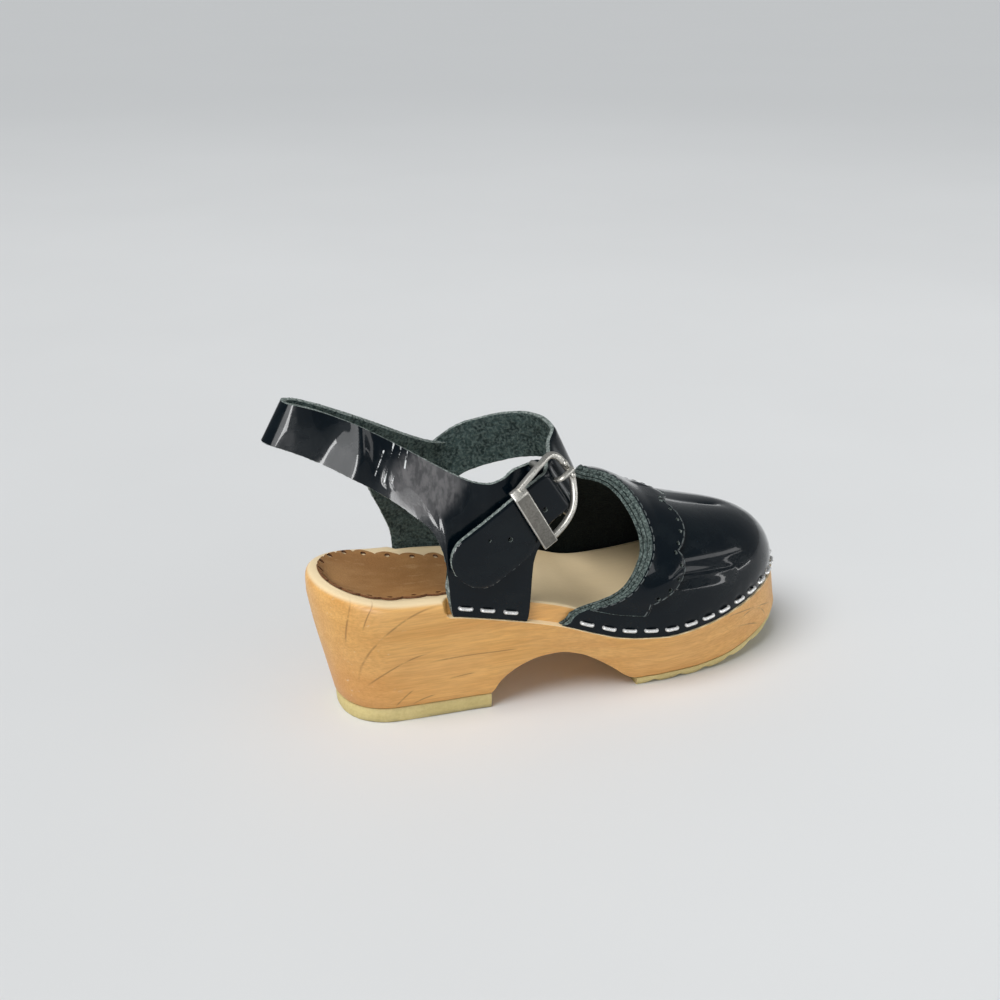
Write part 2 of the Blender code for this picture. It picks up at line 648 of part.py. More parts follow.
def sling_rows():
    """Rows from the buckle's bar round the heel to the front of the inner tab."""
    end_low = buckle_place(0.0, EYE_LOW, -1.9)
    end_high = buckle_place(0.0, EYE_HIGH, -1.9)
    rows = [(*end_low, *end_high, 0.0)]
    for side in (OUTER, INNER):
        half = []
        for k, row in enumerate(SLING_ROWS):
            low_x, low_y, low_z, high_x, high_y, high_z, bulge = row
            if side == INNER:
                low_x += INNER_TAB_SHIFT * INNER_SHIFT_SHARES[k]
            if k in TAB_ROWS:
                low_y = abs(inset_outline(station(low_x), side, VAMP_INSET)[1])
                low_z = ledge_height(low_x) + GAP
            half.append((low_x, side * low_y, low_z, high_x, side * high_y, high_z, bulge))
        if side == OUTER:
            rows += half
        else:
            rows += list(reversed(half[TAB_ROWS[0]:-1]))
    return rows


def sling_point(row, rise):
    low = np.array(row[0:3])
    high = np.array(row[3:6])
    point = blend(low, high, rise)
    point[1] += math.copysign(row[6] * math.sin(math.pi * rise), point[1])
    return point


def sling_path(steps):
    """Smooth rows of the sling, with the tabs' lower ends kept on the ledge."""
    rows = []
    for row in smooth_path(sling_rows(), steps):
        low_z = max(row[2], ledge_height(row[0]) + GAP)
        rows.append((*row[0:2], low_z, *row[3:]))
    return rows


def sling_sheet_rows():
    shares = [k / SLING_STEPS_UP for k in range(SLING_STEPS_UP + 1)]
    return [[sling_point(row, rise) for rise in shares] for row in sling_path(SLING_STEPS)]


def sling_mesh():
    return loft_mesh("sling", sling_sheet_rows(), outward=lambda place: (place[0] - 60, place[1] * 4, 0))


def inner_tab_y(x, z):
    """Outer face of the inner tab at a place seen from the side."""
    points = np.array([point for row in sling_sheet_rows() for point in row if point[1] > 0])
    off = np.hypot(points[:, 0] - x, points[:, 2] - z)
    near = np.argsort(off)[:4]
    weight = 1 / (off[near] + 0.1)
    return float((points[near, 1] * weight).sum() / weight.sum())


def instep_rows():
    """Middle line and lean of the instep strap, from its root on the inner tab to the tail's tip."""
    rows = [(x, inner_tab_y(x, z) - STRAP_THICKNESS, z, lean) for x, z, lean in INSTEP_ROOT_ROWS]
    rows += list(INSTEP_ARCH_ROWS)
    lean = math.degrees(BUCKLE_LEAN)
    rows += [(*buckle_place(along_by, 0.0, out_by), lean) for along_by, out_by in INSTEP_BUCKLE_ROWS]
    return rows


def instep_mesh():
    path = smooth_path(instep_rows(), INSTEP_STEPS)
    places = np.array([row[:3] for row in path])
    run = np.r_[0.0, np.cumsum(np.linalg.norm(np.diff(places, axis=0), axis=1))]
    rows = []
    for (x, y, z, lean), tail in zip(path, run[-1] - run):
        reach = INSTEP_HALF_WIDTH
        if tail < TAIL_ROUND:
            reach = max(0.6, math.sqrt(TAIL_ROUND ** 2 - (TAIL_ROUND - tail) ** 2))
        width = np.array([-math.sin(math.radians(lean)), 0, math.cos(math.radians(lean))])
        shares = [2 * k / INSTEP_STEPS_ACROSS - 1 for k in range(INSTEP_STEPS_ACROSS + 1)]
        rows.append([np.array([x, y, z]) + width * reach * share for share in shares])
    return loft_mesh("instep", rows)


def cylinder(name, radius, depth, segments, guides):
    mesh = bpy.data.meshes.new(name)
    form = bmesh.new()
    bmesh.ops.create_cone(form, cap_ends=True, segments=segments, radius1=radius * MM, radius2=radius * MM,
                          depth=depth * MM)
    form.to_mesh(mesh)
    form.free()
    thing = bpy.data.objects.new(name, mesh)
    return make_guide(thing, guides)


def box(name, size, guides):
    mesh = bpy.data.meshes.new(name)
    form = bmesh.new()
    bmesh.ops.create_cube(form, size=1.0)
    bmesh.ops.scale(form, verts=form.verts, vec=Vector(size) * MM)
    form.to_mesh(mesh)
    form.free()
    thing = bpy.data.objects.new(name, mesh)
    return make_guide(thing, guides)


def build_straps(parts, guides, parent, seat, material):
    """Sling, tabs and instep strap are one piece, joined where the instep strap leaves the inner tab."""
    straps = new_object("ankle_straps", sling_mesh(), parts, parent, material)
    solidify(straps, STRAP_THICKNESS, -1.0)
    across = Matrix.Translation((0, EYE_MIDDLE * MM, 0)) @ Matrix.Rotation(math.pi / 2, 4, "X")

    eye = cylinder("eye", EYE_RADIUS, EYE_LENGTH, 20, guides)
    instep = make_guide(new_object("instep", instep_mesh(), parts, parent, material), guides)
    solidify(instep, STRAP_THICKNESS, 0.0)
    bore = cylinder("eye_bore", BAR_RADIUS + GAP, 1.5 * EYE_LENGTH, 20, guides)
    slot = box("prong_slot", (4 * EYE_RADIUS, EYE_SLOT, 2.4 * EYE_RADIUS), guides)
    hole = box("strap_hole", (HOLE_LENGTH, HOLE_WIDTH, 8.0), guides)
    for guide in (eye, bore):
        guide.parent = seat
        guide.matrix_basis = across
    slot.parent = seat
    slot.location = (EYE_RADIUS * MM, PRONG_UP * MM, 0)
    hole.parent = seat
    hole.location = (HOLE_ALONG * MM, PRONG_UP * MM, 4.2 * MM)

    boolean(straps, eye, "UNION")
    boolean(straps, bore, "DIFFERENCE")
    boolean(straps, slot, "DIFFERENCE")
    boolean(instep, hole, "DIFFERENCE")
    boolean(straps, instep, "UNION")
    return straps


# Buckle, modelled round its bar: x along the strap, y up its width, z out from the foot
def build_buckle_frame(parts, guides, seat, material):
    half = smooth_path(FRAME_ROWS, 3)
    path = [(along, FRAME_UP - low * BUCKLE_HALF_WIDTH, out) for along, low, high, out in half]
    path += [(along, FRAME_UP + high * BUCKLE_HALF_WIDTH, out)
             for along, low, high, out in reversed(half[:-1])]
    wire = curve_tube_mesh("buckle_frame", path, WIRE_RADIUS)
    frame = new_object("buckle_frame", wire, parts, seat, material)

    bar_path = [(0.0, up, out) for up, out in smooth_path(BAR_ROWS, 2)]
    bar = new_object("buckle_bar", curve_tube_mesh("buckle_bar", bar_path, BAR_RADIUS), parts, seat, material)
    make_guide(bar, guides)
    plate = box("keeper_plate", (PLATE_WIDTH, PLATE_LENGTH, PLATE_THICKNESS), guides)
    plate.parent = seat
    plate.location = (PLATE_ALONG * MM, PLATE_UP * MM, PLATE_OUT * MM)
    rounding = plate.modifiers.new("rounding", "BEVEL")
    rounding.width = 0.4 * MM
    rounding.segments = 2
    boolean(frame, bar, "UNION")
    boolean(frame, plate, "UNION")
    return frame


def build_prong(parts, seat, material):
    wrap_radius = BAR_RADIUS + GAP + PRONG_RADIUS
    wrap = []
    for degrees in range(400, 124, -25):
        angle = math.radians(degrees)
        wrap.append((wrap_radius * math.cos(angle), PRONG_UP, wrap_radius * math.sin(angle)))
    tongue = smooth_path((wrap[-1][0::2],) + PRONG_ROWS, 2)[1:]
    path = wrap + [(along, PRONG_UP, out) for along, out in tongue]
    wire = curve_tube_mesh("buckle_prong", path, PRONG_RADIUS)
    return new_object("buckle_prong", wire, parts, seat, material)


# Staples
def staple_mesh():
    mesh = bpy.data.meshes.new("staple")
    form = bmesh.new()
    bmesh.ops.create_cone(form, cap_ends=True, segments=8, radius1=STAPLE_RADIUS * MM,
                          radius2=STAPLE_RADIUS * MM, depth=STAPLE_LENGTH * MM)
    form.to_mesh(mesh)
    form.free()
    return mesh


def vamp_staple_places():
    """Station and side of each vamp staple, at an even pitch along the ledge."""
    start = station(VAMP_STAPLE_START_X)
    half = [start + (2 - start) * k / 300 for k in range(301)]
    loop = [(u, OUTER) for u in half] + [(u, INNER) for u in reversed(half[:-1])]
    points = np.array([inset_outline(u, side, VAMP_INSET) for u, side in loop])
    run = np.r_[0.0, np.cumsum(np.linalg.norm(np.diff(points, axis=0), axis=1))]
    count = int(round(run[-1] / STAPLE_PITCH))
    return [loop[int(np.argmin(abs(run - run[-1] * k / count)))] for k in range(count + 1)]


def place_staple(name, mesh, point, along, out, parts, parent, material):
    along = Vector(along).normalized()
    out = Vector(out).normalized()
    out = (out - along * out.dot(along)).normalized()
    thing = new_object(name, mesh, parts, parent, material)
    turn = Matrix((out.cross(along), out, along)).transposed().to_4x4()
    centre = Vector(point) + out * (GAP + 0.1 + STAPLE_RADIUS)
    thing.matrix_basis = Matrix.Translation(centre * MM) @ turn
    return thing


def build_staples(parts, parent, material):
    mesh = staple_mesh()
    step = 0.01
    for number, (u, side) in enumerate(vamp_staple_places(), start=1):
        share = 0.03
        while vamp_point(u, side, share)[2] < vamp_point(u, side, 0.0)[2] + STAPLE_RISE["vamp"]:
            share += 0.004
        ahead, back = min(u + step, 2.0), u - step
        along = vamp_point(ahead, side, share) - vamp_point(back, side, share)
        if u > 1.995:
            along = (0, 1, 0)
        point = vamp_point(u, side, share)
        out = vamp_normal(u, side, share)
        place_staple(f"vamp_staple_{number:02d}", mesh, point, along, out, parts, parent, material)
    rows = sling_path(TAB_STAPLE_STEPS)
    for side, label in ((OUTER, "outer"), (INNER, "inner")):
        for number, x in enumerate(TAB_STAPLE_X, start=1):
            tab = [row for row in rows if row[1] * side > 0 and row[2] < ledge_height(row[0]) + 1.0]
            shift = INNER_TAB_SHIFT if side == INNER else 0.0
            row = min(tab, key=lambda entry: abs(entry[0] - x - shift))
            height = row[5] - row[2]
            point = sling_point(row, STAPLE_RISE["tab"] / height)
            along = (1.0, 0.03 * side, -0.24)
            place_staple(f"{label}_tab_staple_{number}", mesh, point, along, (0, side, 0.03), parts, parent,
                         material)


def main():
    clear_scene()
    parts = make_collection("clog_sandal")
    guides = make_collection("guides")
    frame = bpy.data.objects.new("last_frame", None)
    frame.location = (-HEEL_REST_X * MM, 0, 0)
    parts.objects.link(frame)
    seat = bpy.data.objects.new("buckle_seat", None)
    seat.parent = frame
    seat.matrix_basis = buckle_matrix()
    parts.objects.link(seat)
    finish = {name: make_material(name) for name in COLOURS}

    new_object("wooden_sole", wooden_sole_mesh(), parts, frame, finish["wood"])
    new_object("heel_lift", heel_lift_mesh(), parts, frame, finish["rubber"])
    new_object("forefoot_outsole", forefoot_outsole_mesh(), parts, frame, finish["rubber"])
    pad = new_object("heel_pad", heel_pad_mesh(), parts, frame, finish["pad_leather"])
    solidify(pad, PAD_THICKNESS, 1.0)
    vamp = new_object("vamp", vamp_mesh(), parts, frame, finish["patent_leather"])
    solidify(vamp, VAMP_THICKNESS, -1.0)
    overlay = new_object("throat_overlay", overlay_mesh(), parts, frame, finish["patent_leather"])
    solidify(overlay, OVERLAY_THICKNESS, 1.0)
    build_straps(parts, guides, frame, seat, finish["patent_leather"])
    build_buckle_frame(parts, guides, seat, finish["pewter"])
    build_prong(parts, seat, finish["pewter"])
    build_staples(parts, frame, finish["staple_steel"])


main()
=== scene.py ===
"""Looks of a child's clog sandal: wood, patent leather, raw edges, pewter buckle and bright staples.

Lengths in the tables are millimetres on the last: x runs from the heel's back to the toe,
-y is the outer side of the foot, +y the inner side, and z rises from the floor.
"""
import math

import bpy
import numpy as np
from mathutils import Matrix, Vector


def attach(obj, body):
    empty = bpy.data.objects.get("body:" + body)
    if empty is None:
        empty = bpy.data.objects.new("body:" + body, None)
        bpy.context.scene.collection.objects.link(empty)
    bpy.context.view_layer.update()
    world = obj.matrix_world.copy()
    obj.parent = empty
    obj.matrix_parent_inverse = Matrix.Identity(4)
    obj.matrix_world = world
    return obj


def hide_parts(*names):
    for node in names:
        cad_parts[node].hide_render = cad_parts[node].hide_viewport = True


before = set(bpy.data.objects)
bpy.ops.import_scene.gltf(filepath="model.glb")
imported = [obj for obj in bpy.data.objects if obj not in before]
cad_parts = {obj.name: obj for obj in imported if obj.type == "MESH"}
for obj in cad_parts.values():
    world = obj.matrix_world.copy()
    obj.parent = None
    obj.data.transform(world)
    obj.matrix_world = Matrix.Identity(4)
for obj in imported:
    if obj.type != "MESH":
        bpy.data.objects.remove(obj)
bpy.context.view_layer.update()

MM = 0.001
OUTER, INNER = -1, 1
LAST_SHIFT = np.array([38.0, 0.0, 0.0])      # the part's origin on the last

# Sole, seen from above
HEEL_BACK_X, TOE_TIP_X = 4.0, 190.5
HEEL_ROUND_X, BALL_X = 30.0, 128.0
HEEL_SPINE_X, TOE_SPINE_X = 14.0, 162.0
HEEL_POWER = 2.1
TOE_POWER = {OUTER: 2.0, INNER: 2.25}
TOE_SWING, SWING_START_X, SWING_REACH = 4.8, 110.0, 80.0
PLAN_ROWS = (                # x, half width on the outer and on the inner side
    (30, 25.4, 25.4), (55, 26.0, 25.2), (80, 28.0, 26.0), (105, 32.0, 30.5), (128, 35.0, 34.5),
)

# Sole, seen from the side
SIDE_ROWS = (                # x, ledge that carries the leather, top edge, tuck of the bottom edge
    (4, 47.0, 54.2, 7.8), (15, 45.0, 51.8, 6.6), (30, 43.5, 49.2, 5.2), (48, 41.6, 47.8, 4.2),
    (62, 38.6, 45.3, 3.8), (75, 35.6, 42.2, 3.4), (88, 32.2, 38.8, 3.4), (101, 27.7, 34.2, 4.2),
    (110, 25.0, 31.5, 5.6), (119, 23.7, 30.2, 6.8), (129, 23.1, 29.6, 7.0), (148, 24.3, 30.9, 5.4),
    (160, 26.0, 32.6, 3.0), (172, 27.7, 34.3, 0.8), (182, 29.0, 35.6, -1.4), (190, 30.2, 36.8, -2.4),
)
BOTTOM_ROWS = (              # x, height of the underside
    (4, 6.2), (63.6, 6.2), (64.8, 6.8), (66, 9.0), (70, 13.2), (75.5, 16.6), (82, 18.8), (89.5, 19.6),
    (97, 17.8), (103, 14.6), (110, 9.5), (115, 5.4), (118, 3.7), (120, 3.3), (144, 3.3),
    (156, 4.6), (168, 7.0), (180, 10.4), (196, 15.5),
)
DISH_ROWS = (                # x, depth of the footbed below its edge
    (4, 2.5), (30, 3.4), (60, 3.0), (90, 2.6), (128, 4.6), (160, 4.0), (190, 2.5),
)
INSTEP_RISE, INSTEP_RISE_X, INSTEP_RISE_REACH = 2.6, 84.0, 26.0
REBATE_DEPTH, REBATE_RAMP = 2.9, 2.6
REBATE_START_X = {OUTER: 45.0, INNER: 39.4}
LOWER_EDGE_RISE, LOWER_EDGE_TUCK = 0.9, 0.7
LEDGE_CHAMFER, LEDGE_CHAMFER_DROP = 0.3, 1.2
HEEL_BROW_ROWS = (           # inset, drop from the top edge, where no leather covers the wood
    (0.1, 8.5), (0.0, 4.6), (0.2, 2.3), (0.9, 0.9), (2.1, 0.2), (4.2, 0.0),
)
REBATE_TOP_ROWS = ((1.0, 1.0), (1.4, 0.3), (2.4, 0.0))     # inset past the rebate, drop from the top edge
WALL_ROWS = ((0.62, 0.36), (0.24, 0.70))     # share of the tuck, share of the way up to the ledge
UNDER_SHARES = (1.0, 0.75, 0.5, 0.25, 0.08)  # rings of the underside, from the middle line outwards
FOOTBED_STEPS, FOOTBED_SPREAD = 14, 1.2
SOLE_EDGE_EASE, SOLE_EDGE_ANGLE = 0.35, 40.0
LEVEL_STEPS = 3              # rings between two rows of the sole's side
HEEL_STEPS, BODY_STEPS, TOE_STEPS = 26, 84, 40

GROWTH_ROWS = (              # growth rings: centre x and z, radius, start and end in degrees, width
    (45.1, 18.5, 28.5, 88.0, 184.0, 0.60), (44.9, -4.3, 33.2, 97.0, 143.0, 0.50),
    (72.0, 36.6, 59.4, 165.0, 183.0, 0.45), (40.4, 37.8, 22.9, 143.0, 174.0, 0.40),
    (55.4, -298.5, 323.5, 86.4, 92.8, 0.45), (61.2, -18.5, 41.4, 129.0, 142.0, 0.50),
    (46.0, -12.4, 22.5, 97.0, 121.0, 0.50), (60.0, -60.0, 77.0, 92.0, 99.0, 0.40),
    (150.0, -40.0, 58.0, 62.0, 84.0, 0.50), (150.0, -60.0, 84.0, 66.0, 88.0, 0.42),
    (168.0, 8.0, 13.0, 20.0, 120.0, 0.45),
)
RING_RISE, RING_REACH = 2.5, 2.2             # how soon a ring is full, how far its ends fade

# Rubber under heel and forefoot
HEEL_LIFT_HEIGHT, HEEL_LIFT_FRONT_X, HEEL_LIFT_SPINE_X = 5.9, 63.6, 24.0
HEEL_LIFT_ROWS = (           # height, inset from the wood's bottom edge
    (0.0, 1.6), (0.25, 1.15), (0.8, 0.9), (3.0, 0.7), (5.5, 0.6), (HEEL_LIFT_HEIGHT, 0.9),
)
OUTSOLE_THICKNESS, OUTSOLE_BACK_X, OUTSOLE_TIP_CUT = 3.0, 120.0, 0.05
OUTSOLE_INSETS = {"edge": 0.7, "belly": 0.5, "tread": 1.3}       # from the wood's bottom edge
OUTSOLE_START, OUTSOLE_EDGE_STEPS = 0.88, 240                    # station where its outline starts
OUTSOLE_STEPS, OUTSOLE_STEPS_ACROSS = 110, 12
RIPPLE_PITCH, RIPPLE_FIRST_X, RIPPLE_DEPTH = 11.0, 127.0, 1.0

# Heel pad
PAD_THICKNESS, PAD_LIFT = 0.7, 0.2
PAD_FRONT_X, PAD_TAPER_X = 68.0, 52.0
PAD_MARGIN_ROWS = (          # x, margin to the footbed's edge on the outer and on the inner side
    (4, 5.2, 5.2), (20, 7.2, 5.0), (34, 8.0, 7.4), (48, 8.6, 11.0),
)
PAD_SCALLOP, PAD_SCALLOP_COUNT, SCALLOP_POWER = 1.7, 9, 0.7
PAD_STEPS = 14               # points along one scallop
PAD_INWARD_SHARES = (0.0, 0.06, 0.14, 0.28, 0.46, 0.64, 0.82, 1.0)
PAD_HOLE_RADIUS, PAD_HOLE_INSET, PUNCH_DEPTH = 1.0, 2.2, 6.0

# Vamp and overlay
LEATHER_GAP = 0.3
VAMP_INSET = 0.6
VAMP_WALL_RISE, VAMP_WALL_SHARE = 2.0, 0.06
BODY_DOME_POWER, TOE_DOME_POWER = 2.3, 1.95
RIDGE_ROWS = (               # x, height of the vamp's ridge
    (86, 81.0), (104, 77.2), (115, 75.2), (130, 67.2), (145, 60.8), (158, 56.8), (162, 55.4),
)
THROAT_ROWS = (              # share up from the ledge to the ridge; x of the throat's edge: outer, inner side
    (0.0, 88.2, 86.6), (0.08, 91.6, 89.4), (0.133, 98.0, 93.0), (0.186, 106.1, 98.0),
    (0.245, 112.2, 102.4), (0.345, 117.2, 106.2), (0.45, 120.2, 109.6), (0.54, 121.0, 110.8),
    (0.635, 120.6, 110.8), (0.73, 119.8, 110.0), (0.82, 118.8, 108.8), (0.90, 117.4, 107.8),
    (0.96, 115.4, 108.4), (1.0, 112.4, 112.4),
)
FACE_STEPS_UP, FACE_STEPS_ALONG, UP_SPREAD = 64, 130, 1.15
NEAR_RIDGE, NEAR_TIP = 0.995, 1.995          # share and station up to which the surface has a direction
FOOT_MIDDLE = np.array([120.0, 0.0, 20.0])   # the vamp's patent side faces away from here
CREST_SOFT = 0.35            # share of the half width over which the ridge is rounded
LINING_STEPS_UP, LINING_STEPS_ALONG = 34, 84
TOE_CREASES = (              # start, end, width and height of soft ridges over the outer toe
    ((136.0, -28.4, 50.6), (164.0, -20.8, 46.0), 1.9, 0.16),
    ((134.4, -30.6, 45.8), (157.8, -26.0, 42.0), 1.3, 0.18),
    ((134.0, -32.4, 39.9), (159.8, -27.1, 35.1), 1.8, 0.18),
)
DENT_DEPTH, DENT_REACH = 0.4, 2.0            # leather drawn in round each staple
TOE_TIP, LINING_FRONT = 2.0, 1.62            # stations: the lining ends out of sight in the toe
LINING_REACH = 0.1           # how far the lining's edge stands back past the face's
FACE_THICKNESS, LINING_THICKNESS, LAYER_GAP = 1.0, 0.85, 0.3
RIM_STEPS, RIM_ROUND, RIM_FRAY = 3, 0.34, 0.07               # cut edges are a little round and frayed
SKIVE = 0.9                  # the cut edges at the throat slope back by this much
OVERLAY_THICKNESS, OVERLAY_LIFT = 1.5, 0.12
OVERLAY_FACE_SKIVE, OVERLAY_BACK_SKIVE = 2.1 * SKIVE, 1.1 * SKIVE
LOBE_ROWS = (                # share down from the ridge: start, end; front edge's station: start, end; bulge
    (-0.127, 0.127, 1.112, 1.112, 0.122), (0.127, 0.529, 1.112, 1.060, 0.062),
    (0.529, 0.825, 1.060, 0.929, 0.068), (0.825, 0.875, 0.929, 0.910, 0.004),
)
LOBE_STEPS, OVERLAY_STEPS_ALONG, FORWARD_SPREAD = 24, 26, 1.8
LOBE_POWER, LOBE_EDGE_ROUND, LOBE_EDGE_HEIGHT = 0.7, 1.6, 0.45
OVERLAY_END_HEIGHT, OVERLAY_END_REACH = 0.2, 0.09            # the overlay's lower ends are thinned
PUFF_HEIGHT, PUFF_DOWN, PUFF_DOWN_REACH = 1.5, 0.67, 0.10    # the lower lobe stands up as a soft dome
PUFF_FORWARD, PUFF_FORWARD_REACH = 0.62, 0.35
CREST_PUFF, CREST_PUFF_DOWN_REACH = 0.9, 0.09                # and so does the one on the ridge
CREST_PUFF_FORWARD, CREST_PUFF_FORWARD_REACH = 0.75, 0.25
RIDGE_SIDE, PAST_BALL = 0.985, 1.02          # share and station whose normals serve the ridge and the toe
LINE_STEPS = 700             # points along the overlay's edge
PINHOLE_RADIUS, PINHOLE_INSET, PINHOLE_PITCH, PINHOLE_ENDS = 0.75, 3.0, 5.3, (0.03, 0.8)
STITCH_RADIUS, STITCH_SIDES, STITCH_PITCH = 0.26, 6, 3.3
STITCH_INSET, THROAT_STITCH_INSET = 1.15, 2.5
STITCH_ROWS = (              # along and out of the thread's middle line
    (-1.1, -0.35), (-0.95, -0.02), (-0.5, 0.12), (0.5, 0.12), (0.95, -0.02), (1.1, -0.35),
)

# Buckle, seated on its centre bar; along points to the curved end, out away from the foot
BUCKLE_BAR = (85.4, -21.6, 82.2)
BUCKLE_LEAN, BUCKLE_YAW = math.radians(32.0), math.radians(6.0)
WIRE_RADIUS, BAR_RADIUS, BUCKLE_HALF_WIDTH, FRAME_UP = 1.25, 1.1, 12.6, 1.5
FRAME_ROWS = (               # along; shares of the half width below and above the middle; out
    (-10.2, 1.04, 0.80, 6.0), (-4.0, 0.97, 0.89, 5.9), (1.0, 0.82, 0.945, 5.6), (3.6, 0.675, 0.945, 4.9),
    (5.6, 0.48, 0.91, 4.3), (7.0, 0.29, 0.80, 3.9), (8.0, 0.11, 0.63, 3.7), (8.6, -0.206, 0.206, 3.6),
)
BAR_ROWS = (                 # up, out
    (13.5, 5.6), (13.3, 2.4), (12.8, 0.5), (12.1, 0.0), (-8.2, 0.0), (-8.8, 0.4), (-9.2, 2.2), (-9.3, 5.6),
)
PLATE_LENGTH, PLATE_WIDTH, PLATE_THICKNESS = 25.4, 5.7, 1.3
PLATE_ALONG, PLATE_UP, PLATE_OUT, PLATE_TILT = -11.2, -0.3, 6.8, math.radians(-2.4)
PLATE_FOLD, PLATE_FOLD_DROP = 0.385, 1.1     # share of the length where it folds, drop in thicknesses
PLATE_FOLD_MARGIN, PLATE_FACE_LEAN = 0.01, 0.97
KNOB_RADIUS, KNOB_REACH, KNOB_ALONG, KNOB_OUT = 1.25, 2.75, 8.6, 4.3
KNOB_STRETCH = (1.25, 0.9, 1.0, 1.0)
PRONG_RADIUS, PRONG_UP, PRONG_SWELL = 0.85, 4.1, 1.3
PRONG_WRAP = range(400, 124, -12)            # degrees round the bar
PRONG_ROWS = ((2.6, 4.3), (3.7, 5.7), (5.2, 6.2), (7.6, 6.1), (9.4, 5.7))    # along, out
FRAME_STEPS, BAR_STEPS, PRONG_STEPS = 8, 6, 5
FRAME_SIDES, BAR_SIDES, PRONG_SIDES, EYE_SIDES = 14, 12, 12, 32
EYE_RADIUS, EYE_LOW, EYE_HIGH, EYE_SLOT = 2.9, -8.0, 11.8, 3.4
EYE_BORE = BAR_RADIUS + 0.3

# Sling with its two tabs: lower edge and upper edge, from the buckle to the heel's back
STRAP_THICKNESS = 1.9
SLING_ROWS = (               # lower x, y, z; upper x, y, z; outward bulge at half height
    (83.8, 23.4, 67.6, 73.0, 21.9, 91.6, 0.4), (78.3, 26.0, 58.8, 67.8, 22.9, 88.9, 1.0),
    (75.2, 27.0, 36.0, 63.5, 22.8, 87.8, 1.6), (62.0, 25.8, 39.0, 59.0, 21.8, 88.4, 1.7),
    (49.0, 25.3, 41.9, 54.0, 19.9, 90.3, 1.7), (47.6, 25.2, 52.5, 49.0, 17.7, 93.0, 1.4),
    (46.8, 24.0, 62.5, 43.5, 15.0, 96.3, 1.1), (43.8, 21.6, 72.0, 37.0, 12.0, 100.3, 0.8),
    (36.6, 17.8, 79.5, 29.5, 9.2, 104.7, 0.5), (27.0, 13.6, 86.8, 21.0, 6.7, 109.3, 0.3),
    (13.0, 8.6, 95.5, 11.5, 5.2, 113.8, 0.2), (0.0, 5.4, 101.9, 4.5, 4.6, 116.4, 0.1),
    (-6.0, 3.5, 104.3, 0.6, 3.3, 117.4, 0.0), (-7.8, 0.0, 104.9, -0.6, 0.0, 117.7, 0.0),
)
TAB_ROWS = (2, 3, 4)         # rows whose lower edge is a tab's foot on the ledge
SLING_END_OUT = -1.9         # the sling's front end lies under the bar
ANKLE_X, ANKLE_SPREAD = 60.0, 4.0            # the sling's patent side faces away from here
INNER_TAB_SHIFT = -6.0       # the inner tab stands further back, and each row takes its share of that
INNER_SHIFT_SHARES = (1, 1, 1, 1, 1.1, 1.05, 1.5, 1.75, 1.2, 0.6, 0.2, 0, 0, 0)
SLING_STEPS, SLING_STEPS_UP = 18, 20
SLING_WAVE_ROWS = (          # row of the sling plus its tilt up the strap, outward wave of the slack strap
    (8.6, 0.0), (9.95, 0.0), (10.15, 0.2), (10.38, 1.0), (10.52, 1.48), (10.6, 1.45),
    (10.8, 1.035), (11.0, 0.62), (11.2, 0.2), (11.3, 0.05), (11.45, 0.0), (12.6, 0.0),
)
SLING_WAVE_TILT = 0.85
SLING_CREASES = (            # start, end, width and height of the worn creases
    ((30.3, -11.0, 100.0), (26.6, -12.4, 92.3), 0.55, 0.22),
    ((33.9, -10.8, 102.1), (29.4, -13.6, 90.1), 0.5, 0.20),
    ((36.1, -11.6, 100.8), (31.9, -14.3, 89.6), 0.5, 0.20),
    ((37.8, -12.5, 99.4), (36.4, -14.1, 94.3), 0.5, 0.16),
)
# width of the painted highlights along the worn cracks of the sling's creases
CRACK_HIGHLIGHT_WIDTH = 0.55
# where the outer sling is scuffed dull, its pale grey partly a painted reflection, and how far that reaches
SLING_SCUFF_AND_REFLECTION, SCUFF_AND_REFLECTION_REACH = (42.8, -17.2, 89.0), 16.0

# Instep strap
INSTEP_HALF_WIDTH, TAIL_ROUND, TAIL_TIP_HALF_WIDTH = 9.2, 9.2, 0.6
EDGE_DROP, EDGE_DROP_POWER = 0.4, 14         # the patent side is rounded off at the strap's edges
TAIL_LOW_ROWS = (            # distance from the tip, width of the strap's lower half to its upper half
    (0, 1.34), (22, 1.34), (38, 0.80), (50, 0.80), (62, 1.0), (400, 1.0),
)
TAIL_EASE, TAIL_GAP, TAIL_EASE_LIMIT = 0.3, 0.1, 30.0        # how softly the tail comes to rest on the sling
TAIL_SIDE_Y = -24.0          # further out than this the strap's patent side faces outwards
CARRIED_Y, CARRIED_REACH = -15.0, 2.5        # where, and how near, the sling carries the tail
ROOT_NEAREST, ROOT_SOFTNESS = 4, 0.1
CARRIER_NEAREST, CARRIER_SOFTNESS = 6, 0.2
INSTEP_ROOT_ROWS = ((53.0, 75.0, 6.0), (60.0, 80.0, 10.0))   # x, z, lean in degrees, under the inner tab
INSTEP_ARCH_ROWS = (         # x, y, z, lean in degrees, over the instep
    (68.0, 20.2, 85.2, 13.0), (76.5, 16.4, 88.6, 16.0), (85.0, 11.0, 91.4, 19.0), (91.4, 5.0, 92.6, 21.0),
    (94.9, -1.5, 92.4, 23.0), (95.6, -8.0, 91.4, 25.0), (92.4, -14.6, 89.0, 32.0),
)
INSTEP_BUCKLE_ROWS = (       # along and out from the buckle's bar
    (5.8, -0.7), (4.4, 0.1), (2.4, 3.1), (0.2, 4.7), (-5.0, 4.4), (-10.2, 4.1), (-16.0, 4.0), (-24.0, 3.8),
    (-33.0, 3.2), (-40.0, 2.5), (-43.6, 2.2),
)
INSTEP_STEPS, INSTEP_STEPS_ACROSS = 10, 24
STRAP_HOLES = ((-27.8, 2.8, 0.55), (-21.9, -1.95, 0.9), (-6.3, -1.6, 0.9))   # along, up, radius
STRAP_HOLE_OUT, STRAP_PUNCH_DEPTH = 4.0, 7.0

